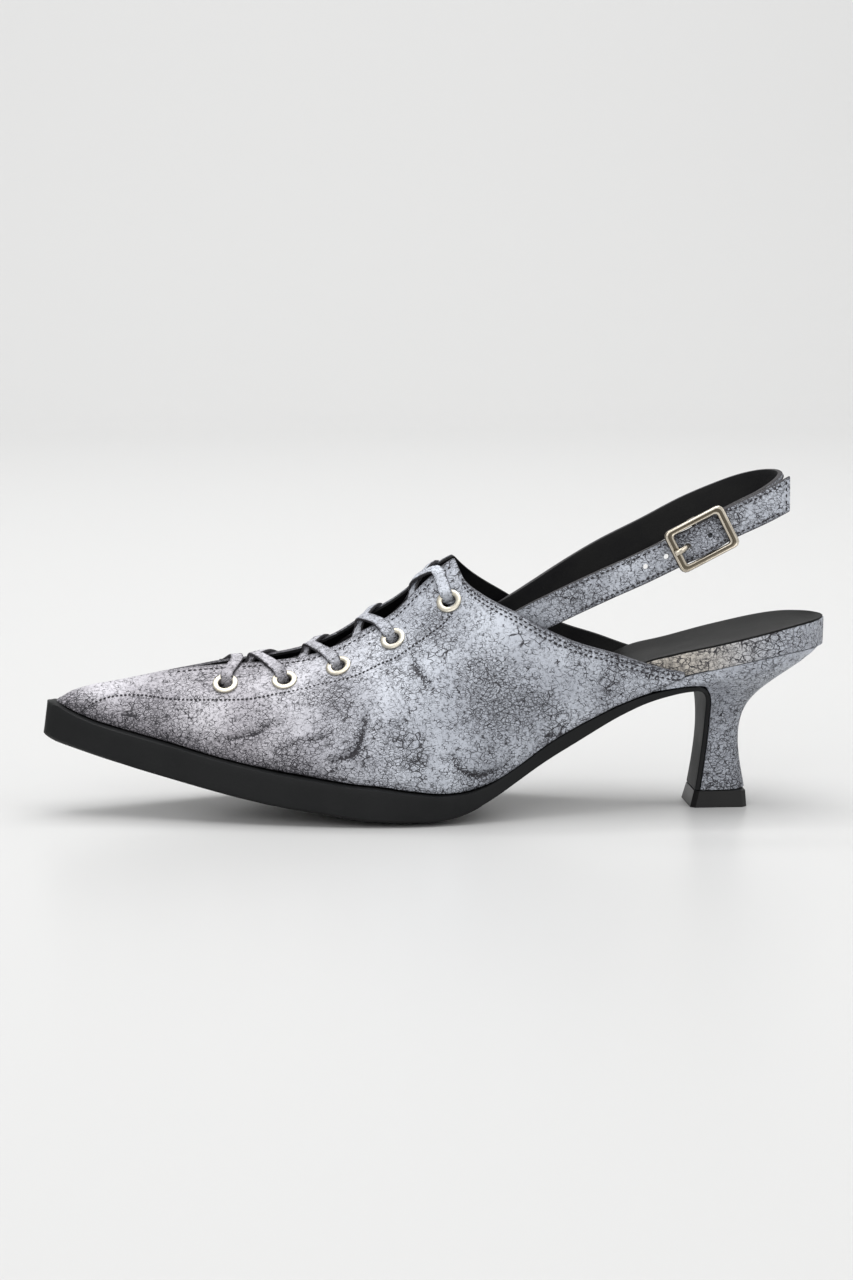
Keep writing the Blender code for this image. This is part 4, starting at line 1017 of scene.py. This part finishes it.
def stripFrame(spots, normals, i):
    # tangent, upright normal and crosswise direction of a strip at one of its spots
    tangent = stepAt(spots, i).normalized()
    normal = (normals[i] - normals[i].dot(tangent) * tangent).normalized()
    return tangent, normal, tangent.cross(normal)


def ribbon(name, spots, normals, width, thickness, materials, dome=0.06, endCut=0.0, soils=None):
    # section runs over the outer face, the edge, the inner face and the other edge
    half, depth = 0.5 * width, 0.5 * thickness
    shares = (-0.95, -0.86, -0.6, -0.3, 0.0, 0.3, 0.6, 0.86, 0.95)
    face = [(a, depth * (1.0 if abs(a) < 0.9 else 0.86)) for a in shares]
    section = [(a * half, n * (1.0 + dome * (1.0 - a * a)), 0) for a, n in face]
    section += [(half, 0.4 * depth, 1), (half, -0.4 * depth, 1)]
    section += [(a * half, -n, 2) for a, n in reversed(face)]
    section += [(-half, -0.4 * depth, 1), (-half, 0.4 * depth, 1)]
    count = len(section)
    verts, edge, soilAndShade = [], [], []
    for i, spot in enumerate(spots):
        tangent, normal, across = stripFrame(spots, normals, i)
        slant = max(0.0, 1.0 - (spots[-1] - spot).length / (2.2 * width)) ** 1.5
        for a, n, _ in section:
            verts.append(spot + across * a + normal * n - tangent * (endCut * slant * a))
            edge.append(max(0.0, min(1.0, (abs(a) / half - 0.70) / 0.3)))
            soilAndShade.append(soils[i] if soils else 0.0)
    faces, looks = [], []
    for i in range(len(spots) - 1):
        for k in range(count):
            n = (k + 1) % count
            faces.append((i * count + k, i * count + n, (i + 1) * count + n, (i + 1) * count + k))
            kinds = {section[k][2], section[n][2]}
            looks.append(0 if kinds == {0} else 2 if kinds == {2} else 1)
    faces += [tuple(range(count))[::-1], tuple((len(spots) - 1) * count + k for k in range(count))]
    looks += [1, 1]
    mesh = bpy.data.meshes.new(name)
    mesh.from_pydata(verts, [], faces)
    pointValues(mesh, "edge", edge)
    pointValues(mesh, "soilAndShade", soilAndShade)
    mesh.polygons.foreach_set("material_index", looks)
    work = bmesh.new()
    work.from_mesh(mesh)
    bmesh.ops.recalc_face_normals(work, faces=work.faces[:])
    work.to_mesh(mesh)
    work.free()
    mesh.shade_smooth()
    mesh.set_sharp_from_angle(angle=math.radians(38))
    return newPiece(name, mesh, materials)


lace = {
    "width": 4.2 * mm,
    "thickness": 1.0 * mm,
    "lift": 0.65 * mm,
    "under": 1.0 * mm,
    "weave": 0.6 * mm,
    "reaches": (0.70, 0.71, 0.74, 0.80),
}


def throatEdge(share, side, lift):
    spot, normal, _ = setbackSpot(share, side, edgeTrim(share, side))
    over = (normal + Vector((0.0, 0.0, 1.0))).normalized()
    return spot + over * lift, over


def ridgeNormal(share):
    ahead, behind = upperAt("top", share - 0.02), upperAt("top", share + 0.02)
    grade = (behind - ahead) * shoe["instep"] / (0.04 * shoe["length"])
    return Vector((-grade, 0.0, 1.0)).normalized()


def diveInto(number, side, sign, share):
    # from the throat's edge at a share of the length to the eyelet, over its rim and down its bore
    spot, normal, _ = eyeletFrame(number, side)
    lift, trim = lace["lift"], edgeTrim(share, side)
    edge, over = throatEdge(share, side, lift + 0.2 * mm)
    setback = eyelets["setbacks"][number] * eyelets["setback"]
    middle, rise, _ = setbackSpot(0.45 * share + 0.55 * eyelets["shares"][number], side,
                                  trim + 0.42 * (setback - trim), lift)
    down = spot - middle
    down = (down - down.dot(normal) * normal).normalized()
    # each stop: place along the way to the eyelet's centre, height over the leather, facing
    stops = [(-4.2 * mm, lift + 0.7 * mm, normal),
             (-2.9 * mm, lift + 0.45 * mm, normal + 0.25 * down),
             (-1.9 * mm, -0.2 * mm, normal + down),
             (-1.5 * mm, -1.3 * mm, 0.3 * normal + down),
             (-1.4 * mm, -upper["wall"] - 1.2 * mm, down)]
    out = [(edge, sign * over), (middle, sign * rise)]
    return out + [(spot + down * a + normal * n, facing.normalized() * sign) for a, n, facing in stops]


def crossing(number, side, sign):
    # from inside eyelet number on one side, through the throat, to eyelet number + 1 on the other
    first, second = eyelets["shares"][number], eyelets["shares"][number + 1]
    step = second - first
    middle, edge = first + 0.5 * step, first + 0.4 * step
    inside = upper["wall"] + lace["under"]
    spot, normal, down = eyeletFrame(number, side)
    out = [(spot - normal * inside - down * 3.0 * mm, -sign * normal)]
    spot, normal, _ = setbackSpot(first + 0.26 * step, side, 5.0 * mm, -inside)
    out.append((spot, -sign * normal))
    above = ridgeNormal(middle)
    half = upperAt("gap", edge) * shoe["ball"]
    top = upperAt("top", edge) * shoe["instep"]
    out.append((Vector((xAt(edge), side * 0.62 * half, top - 1.3 * mm)), -sign * above))
    ridge = upperAt("top", middle) * shoe["instep"] + 0.5 * throatAt("rise", middle)
    centre = Vector((xAt(middle), 0.0, ridge))
    weave = lace["weave"] if side > 0 else -lace["weave"]
    out.append((centre + above * (lace["lift"] + 0.35 * mm + weave), -sign * above))
    return out + diveInto(number + 1, -side, -sign, first + lace["reaches"][number] * step)


def laceRun(side):
    # from the middle of the lowest bar into its eyelet and up through the crossings
    bow = eyelets["shares"][0] + 0.017
    centre = Vector((xAt(bow), 0.0, upperAt("top", bow) * shoe["instep"]))
    points = [(centre + ridgeNormal(bow) * (lace["lift"] + 0.5 * mm), ridgeNormal(bow))]
    points += diveInto(0, side, 1.0, bow - 0.002)
    sign = 1.0
    for number in range(4):
        points += crossing(number, side, sign)
        side, sign = -side, -sign
    spot, normal, down = eyeletFrame(4, side)
    inside = upper["wall"] + lace["under"] + 1.2 * mm
    points.append((spot - normal * inside + down * 2.0 * mm, -sign * normal))
    return points


def buildLace():
    lateral, medial = laceRun(-1), laceRun(1)
    points = medial[:0:-1] + lateral
    spots = [Vector(p) for p in smoothRoute([p for p, _ in points], 5)]
    normals = [Vector(n).normalized() for n in smoothRoute([n for _, n in points], 5)]
    looks = [laceLeather, rawEdge, laceLeather]
    piece = ribbon("lace", spots, normals, lace["width"], lace["thickness"], looks)
    settle(piece, "crackle_leather", "lace_bar", *[f"lace_cross_{k}" for k in range(1, 5)])


buildLace()
print("lace threaded")


# Straps: shares of the length, ball width and instep height, and near the buckle offsets from its
# centre as shares of its length
straps = {
    "width": 10.3 * mm,
    "thickness": 1.8 * mm,
    "buckleLength": 21.4 * mm,
    "bucklePlace": (0.8231, -0.397, 1.096),
    "tilt": math.radians(27.0),
    "yaw": math.radians(1.5),
    "frameDepth": 1.8 * mm,
    "barSink": 2.6 * mm,
    "barRadius": 0.7 * mm,
    "fold": 0.7 * mm,
    "holePitch": 7.6 * mm,
    "holeRadius": 0.9 * mm,
    "prongHole": -0.24,
    "prongStart": 8.0 * mm,
    "prongCut": 0.36,
}
buckleStrapRoute = [(0.5862, -0.283, 0.727), (0.6138, -0.299, 0.777), (0.6381, -0.313, 0.819),
                    (0.6688, -0.328, 0.866)]
buckleStrapApproach = [(-1.374, 0.182, -0.668), (-0.939, 0.140, -0.472)]
freeEndRoute = [(0.953, 0.154, 0.449), (1.379, 0.271, 0.650)]
slingRoute = [(0.5862, 0.273, 0.708), (0.6131, 0.287, 0.762), (0.6742, 0.317, 0.872), (0.7296, 0.332, 0.970),
              (0.7854, 0.326, 1.056), (0.8385, 0.297, 1.145), (0.8912, 0.230, 1.220), (0.9212, 0.143, 1.255),
              (0.9381, 0.040, 1.266), (0.9388, -0.066, 1.261), (0.9250, -0.180, 1.242)]
slingApproach = [(0.967, 0.467, 0.453), (0.678, 0.308, 0.332)]


def strapPlace(share, side, height):
    return Vector((xAt(share), side * shoe["ball"], height * shoe["instep"]))


def buckleAxes():
    tilt, yaw = straps["tilt"], straps["yaw"]
    along = Vector((math.cos(tilt) * math.cos(yaw), math.sin(yaw), math.sin(tilt)))
    outward = Vector((0.0, -1.0, 0.0))
    outward = (outward - outward.dot(along) * along).normalized()
    return along, outward, -along.cross(outward)


def inBuckle(a, n, b=0.0):
    along, outward, up = buckleAxes()
    return strapPlace(*straps["bucklePlace"]) + along * a + outward * n + up * b


def nearBuckle(offsets):
    centre = strapPlace(*straps["bucklePlace"])
    return [centre + Vector(offset) * straps["buckleLength"] for offset in offsets]


def tucked(route, side):
    # keeps a strap's hidden start inside the quarter's wall
    out = []
    for point in route:
        spot = strapPlace(*point)
        ahead = shareAt(spot.x - 0.5 * straps["width"] * math.sin(straps["tilt"]))
        top = toplineHeight(ahead, side)
        if ahead < upperRows[-1][0] and spot.z - 0.5 * straps["width"] < top:
            place = heightPlace(ahead, side, min(spot.z + 0.5 * straps["width"], top), inside=True)
            room = np.abs(sectionSpots(ahead, side, np.linspace(0.0, place, 40), inside=True)[:, 1]).min()
            spot.y = side * min(abs(spot.y), room - 3 * shoe["gap"] - 0.5 * straps["thickness"])
        out.append(spot)
    return out


def flatNormals(spots):
    upright = Vector((0.0, 0.0, 1.0))
    return [upright.cross(stepAt(spots, i)).normalized() for i in range(len(spots))]


def frontNormals(spots):
    return [Vector((0.0, -1.0, 0.0))] * len(spots)


def buildStraps():
    half = 0.5 * (straps["buckleLength"] - 2.7 * mm)
    under = -(0.5 * straps["frameDepth"] + shoe["gap"] + 0.5 * straps["thickness"])
    bar = straps["barRadius"] - straps["barSink"]
    over = bar + 2 * shoe["gap"] + straps["fold"] + 0.5 * straps["thickness"]
    route = tucked(buckleStrapRoute, -1) + nearBuckle(buckleStrapApproach)
    stops = ((-1.17, under), (-0.87, under), (-0.35, 0.6 * over), (0.0, over), (0.35, 0.6 * over),
             (0.87, under), (1.17, under))
    route += [inBuckle(place * half, depth) for place, depth in stops]
    route += nearBuckle(freeEndRoute)
    spots = [Vector(p) for p in smoothRoute(route, 10)]
    looks = [strapLeather, rawEdge, lining]
    centre = inBuckle(0.0, 0.0)
    soils = [0.35 * math.exp(-((spot - centre).length / (11.0 * mm)) ** 4) for spot in spots]
    strap = ribbon("buckle_strap_skin", spots, frontNormals(spots), straps["width"],
                   straps["thickness"], looks, endCut=math.tan(straps["tilt"]), soils=soils)
    outward = buckleAxes()[1]
    for count in (1, 0, -1, -2):
        # the prong's own hole is drawn along and worn wider
        shift, wear = (0.45 * mm, 0.3 * mm) if count == 0 else (0.0, 0.0)
        place = straps["prongHole"] * straps["buckleLength"] + count * straps["holePitch"] + shift
        target = inBuckle(place, under)
        nearest = min(spots, key=lambda spot: (spot - target).length)
        cutWithTubes(strap, [(nearest, outward)], straps["holeRadius"] + wear, 8 * mm)
    settle(strap, "crackle_leather", "buckle_strap")

    ring = straps["barRadius"] + shoe["gap"] + straps["fold"]
    route = tucked(slingRoute[:4], 1) + [strapPlace(*point) for point in slingRoute[4:]]
    route += nearBuckle(slingApproach)
    for place, depth in ((0.30, 1.06), (0.17, 0.71), (0.056, 0.53)):
        route.append(inBuckle(place * straps["buckleLength"], -straps["barSink"] - depth * ring))
    sling = [Vector(p) for p in smoothRoute(route, 10)]
    strap = ribbon("sling_strap_skin", sling, flatNormals(sling), straps["width"],
                   straps["thickness"], looks)
    settle(strap, "crackle_leather", "sling_strap")
    return spots, sling


strapSpots, slingSpots = buildStraps()
print("straps laid")


def buildBuckle():
    along, outward, _ = buckleAxes()
    centre = strapPlace(*straps["bucklePlace"])

    def shortenProng(spot, normal):
        # the tip ends at the near side of its hole
        ahead = (spot - centre).dot(along) + straps["prongStart"]
        return spot - along * (straps["prongCut"] * ahead) if ahead > 0.0 else spot

    for node, name, reshape in (("buckle_frame", "buckle_frame_skin", None),
                                ("buckle_prong", "buckle_prong_skin", shortenProng)):
        piece = refined(node, name, [buckleMetal], levels=0, reshape=reshape)
        recess = []
        for v in piece.data.vertices:
            depth = (v.co - centre).dot(outward) / straps["frameDepth"]
            recess.append(float(node == "buckle_frame" and depth < 0.3))
        pointValues(piece.data, "recess", recess)
        settle(piece, "aged_nickel", node)


buildBuckle()


# Stitches: one short thread instanced along each row. Spans are shares of the length
stitches = {
    "seam": {"Pitch": 1.4 * mm, "Length": 0.92 * mm, "Radius": 0.35 * mm},
    "edge": {"Pitch": 1.8 * mm, "Length": 1.15 * mm, "Radius": 0.29 * mm},
    "throatSpan": (0.172, 0.515),
    "toplineSpan": (0.530, 0.800),
    "nearRow": 1.3 * mm,
    "farRow": 2.9 * mm,
    "strapInset": 1.25 * mm,
}


def stitchTree():
    tree = bpy.data.node_groups.new("stitchRow", "GeometryNodeTree")
    face = tree.interface
    face.new_socket("Geometry", in_out="INPUT", socket_type="NodeSocketGeometry")
    for label in stitches["seam"]:
        face.new_socket(label, in_out="INPUT", socket_type="NodeSocketFloat")
    face.new_socket("Material", in_out="INPUT", socket_type="NodeSocketMaterial")
    face.new_socket("Geometry", in_out="OUTPUT", socket_type="NodeSocketGeometry")
    start, end = tree.nodes.new("NodeGroupInput"), tree.nodes.new("NodeGroupOutput")
    spots = addNode(tree, "GeometryNodeCurveToPoints", {"Curve": start.outputs["Geometry"],
                                                        "Length": start.outputs["Pitch"]}, mode="LENGTH")
    thread = addNode(tree, "GeometryNodeMeshUVSphere", {"Segments": 8, "Rings": 6, "Radius": 1.0})
    radius = start.outputs["Radius"]
    size = addNode(tree, "ShaderNodeCombineXYZ", {"X": radius, "Y": radius})
    halfLength = maths(tree, "MULTIPLY", start.outputs["Length"], 0.5)
    tree.links.new(halfLength, size.inputs["Z"])
    placed = addNode(tree, "GeometryNodeInstanceOnPoints", {
        "Points": spots.outputs["Points"], "Instance": thread.outputs["Mesh"],
        "Rotation": spots.outputs["Rotation"], "Scale": size.outputs[0]})
    real = addNode(tree, "GeometryNodeRealizeInstances", {"Geometry": placed.outputs["Instances"]})
    painted = addNode(tree, "GeometryNodeSetMaterial", {"Geometry": real.outputs["Geometry"],
                                                        "Material": start.outputs["Material"]})
    tree.links.new(painted.outputs["Geometry"], end.inputs["Geometry"])
    return tree


stitchRow = stitchTree()


def sewRows(name, routes, sizes, material):
    curve = bpy.data.curves.new(name, "CURVE")
    curve.dimensions = "3D"
    for route in routes:
        line = curve.splines.new("POLY")
        line.points.add(len(route) - 1)
        for point, spot in zip(line.points, route):
            point.co = (*spot, 1.0)
    guide = bpy.data.objects.new(name + "_guide", curve)
    scene.collection.objects.link(guide)
    sewing = guide.modifiers.new("stitches", "NODES")
    sewing.node_group = stitchRow
    sockets = {item.name: item.identifier for item in stitchRow.interface.items_tree
               if item.in_out == "INPUT"}
    for label, value in (*sizes.items(), ("Material", material)):
        sewing[sockets[label]] = value
    bpy.context.view_layer.update()
    mesh = bpy.data.meshes.new_from_object(guide.evaluated_get(bpy.context.evaluated_depsgraph_get()))
    bpy.data.objects.remove(guide)
    mesh.name = name
    mesh.shade_smooth()
    piece = newPiece(name, mesh, [material])
    return settle(piece, "crackle_leather")


# Panel seam from the toe back to the collar, as (share of the length, share of the instep height)
panelSeam = [(0.046, 0.405), (0.056, 0.431), (0.072, 0.457), (0.092, 0.473), (0.123, 0.479), (0.163, 0.468),
             (0.200, 0.468), (0.257, 0.474), (0.286, 0.489), (0.320, 0.507), (0.343, 0.524), (0.388, 0.559),
             (0.424, 0.609), (0.444, 0.634), (0.476, 0.700), (0.505, 0.765), (0.524, 0.835)]


def seamRoute(side):
    route = []
    for share, height in smoothRoute([(a, b, 0.0) for a, b in panelSeam], 8)[:, :2]:
        spot, normal, _ = surfaceAt(share, side, heightPlace(share, side, height * shoe["instep"]))
        route.append(spot + normal * 0.08 * mm)
    return route


def edgeRoute(side, first, last, setback, count=90):
    return [setbackSpot(share, side, setback + edgeTrim(share, side), 0.1 * mm)[0]
            for share in np.linspace(first, last, count)]


def strapRoute(spots, normals, offset, first=0, last=None):
    route = []
    stop = len(spots) if last is None else last
    for i in range(first, stop):
        _, normal, across = stripFrame(spots, normals, i)
        route.append(spots[i] + across * offset + normal * (0.5 * straps["thickness"] + 0.12 * mm))
    return route


def endRow():
    # across the strap's free end, along its slanted cut
    tangent, normal, across = stripFrame(strapSpots, frontNormals(strapSpots), len(strapSpots) - 1)
    lift = normal * (0.5 * straps["thickness"] + 0.1 * mm)
    route = []
    for a in np.linspace(-0.36, 0.36, 12) * straps["width"]:
        slide = -1.5 * mm - math.tan(straps["tilt"]) * a
        route.append(strapSpots[-1] + across * a + tangent * slide + lift)
    return route


def sewAll():
    sewRows("seam_stitches", [seamRoute(side) for side in (-1, 1)], stitches["seam"], threadDark)
    near, far = stitches["nearRow"], stitches["farRow"]
    edges = [edgeRoute(side, *stitches["throatSpan"], far) for side in (-1, 1)]
    edges += [edgeRoute(side, *stitches["toplineSpan"], row) for side in (-1, 1) for row in (near, far)]
    sewRows("edge_stitches", edges, stitches["edge"], threadDark)
    rows = []
    offset = 0.5 * straps["width"] - stitches["strapInset"]
    front = frontNormals(strapSpots)
    for edge in (-offset, offset):
        rows.append(strapRoute(strapSpots, front, edge, 30, len(strapSpots) - (3 if edge < 0.0 else 7)))
        rows.append(strapRoute(slingSpots, flatNormals(slingSpots), edge, 20, len(slingSpots) - 22))
    rows.append(endRow())
    sewRows("strap_stitches", rows, stitches["edge"], threadDark)


sewAll()
print("stitches sewn")


# Floor that sweeps up into the backdrop, lights and camera
stage = {
    "front": -7.0,
    "depth": 1.5,
    "sweep": 0.9,
    "height": 3.2,
    "width": 16.0,
    "tone": (0.566, 0.566, 0.563, 1.0),
    "world": 0.635,
}


def buildStage():
    profile = [(stage["front"], 0.0), (stage["depth"], 0.0)]
    for k in range(1, 17):
        turn = 0.5 * math.pi * k / 16
        back, rise = stage["sweep"] * math.sin(turn), stage["sweep"] * (1 - math.cos(turn))
        profile.append((stage["depth"] + back, rise))
    profile.append((stage["depth"] + stage["sweep"], stage["height"]))
    half = 0.5 * stage["width"]
    verts = [(x, y, z) for y, z in profile for x in (-half, half)]
    faces = [(2 * i, 2 * i + 1, 2 * i + 3, 2 * i + 2) for i in range(len(profile) - 1)]
    mesh = bpy.data.meshes.new("backdrop")
    mesh.from_pydata(verts, [], faces)
    mesh.shade_smooth()
    made, _, shader, _ = newMaterial("backdropPaper")
    shader.inputs["Base Color"].default_value = stage["tone"]
    shader.inputs["Roughness"].default_value = 0.32
    shader.inputs["Specular IOR Level"].default_value = 0.25
    newPiece("backdrop", mesh, [made])


# Area lights: place, target, size and power
lights = {
    "overhead": ((-0.15, 0.0, 1.5), (-0.1, 0.0, 0.05), (1.6, 1.2), 20.0),
    "frontFill": ((-0.7, -1.7, 0.9), (-0.1, 0.0, 0.05), (1.4, 1.0), 11.0),
    "sideFill": ((1.3, -0.6, 0.9), (-0.1, 0.0, 0.05), (0.9, 0.9), 4.0),
    "backdropWash": ((0.0, 0.9, 1.9), (0.0, 2.4, 0.55), (2.4, 0.8), 27.0),
}


def addLight(name, place, target, size, power):
    data = bpy.data.lights.new(name, "AREA")
    data.shape = "RECTANGLE"
    data.size, data.size_y = size
    data.energy = power
    light = bpy.data.objects.new(name, data)
    light.location = place
    light.rotation_euler = (Vector(target) - Vector(place)).to_track_quat("-Z", "Y").to_euler()
    scene.collection.objects.link(light)


def buildLights():
    scene.view_settings.view_transform = "Standard"
    world = bpy.data.worlds.new("studio")
    world.use_nodes = True
    world.node_tree.nodes["Background"].inputs["Color"].default_value = (1.0, 1.0, 1.0, 1.0)
    world.node_tree.nodes["Background"].inputs["Strength"].default_value = stage["world"]
    scene.world = world
    for name, values in lights.items():
        addLight(name, *values)


camera = {
    "place": (-0.20012, -1.17911, 0.22243),
    "azimuth": math.radians(-5.0),
    "elevation": math.radians(8.0),
    "lens": 101.25,
}


def buildCamera():
    data = bpy.data.cameras.new("camera")
    data.lens = camera["lens"]
    eye = bpy.data.objects.new("camera", data)
    turn, rise = camera["azimuth"], camera["elevation"]
    back = Vector((math.sin(turn) * math.cos(rise), -math.cos(turn) * math.cos(rise), math.sin(rise)))
    eye.location = camera["place"]
    eye.rotation_euler = back.to_track_quat("Z", "Y").to_euler()
    scene.collection.objects.link(eye)
    scene.camera = eye


buildStage()
buildLights()
buildCamera()
print("stage lit")
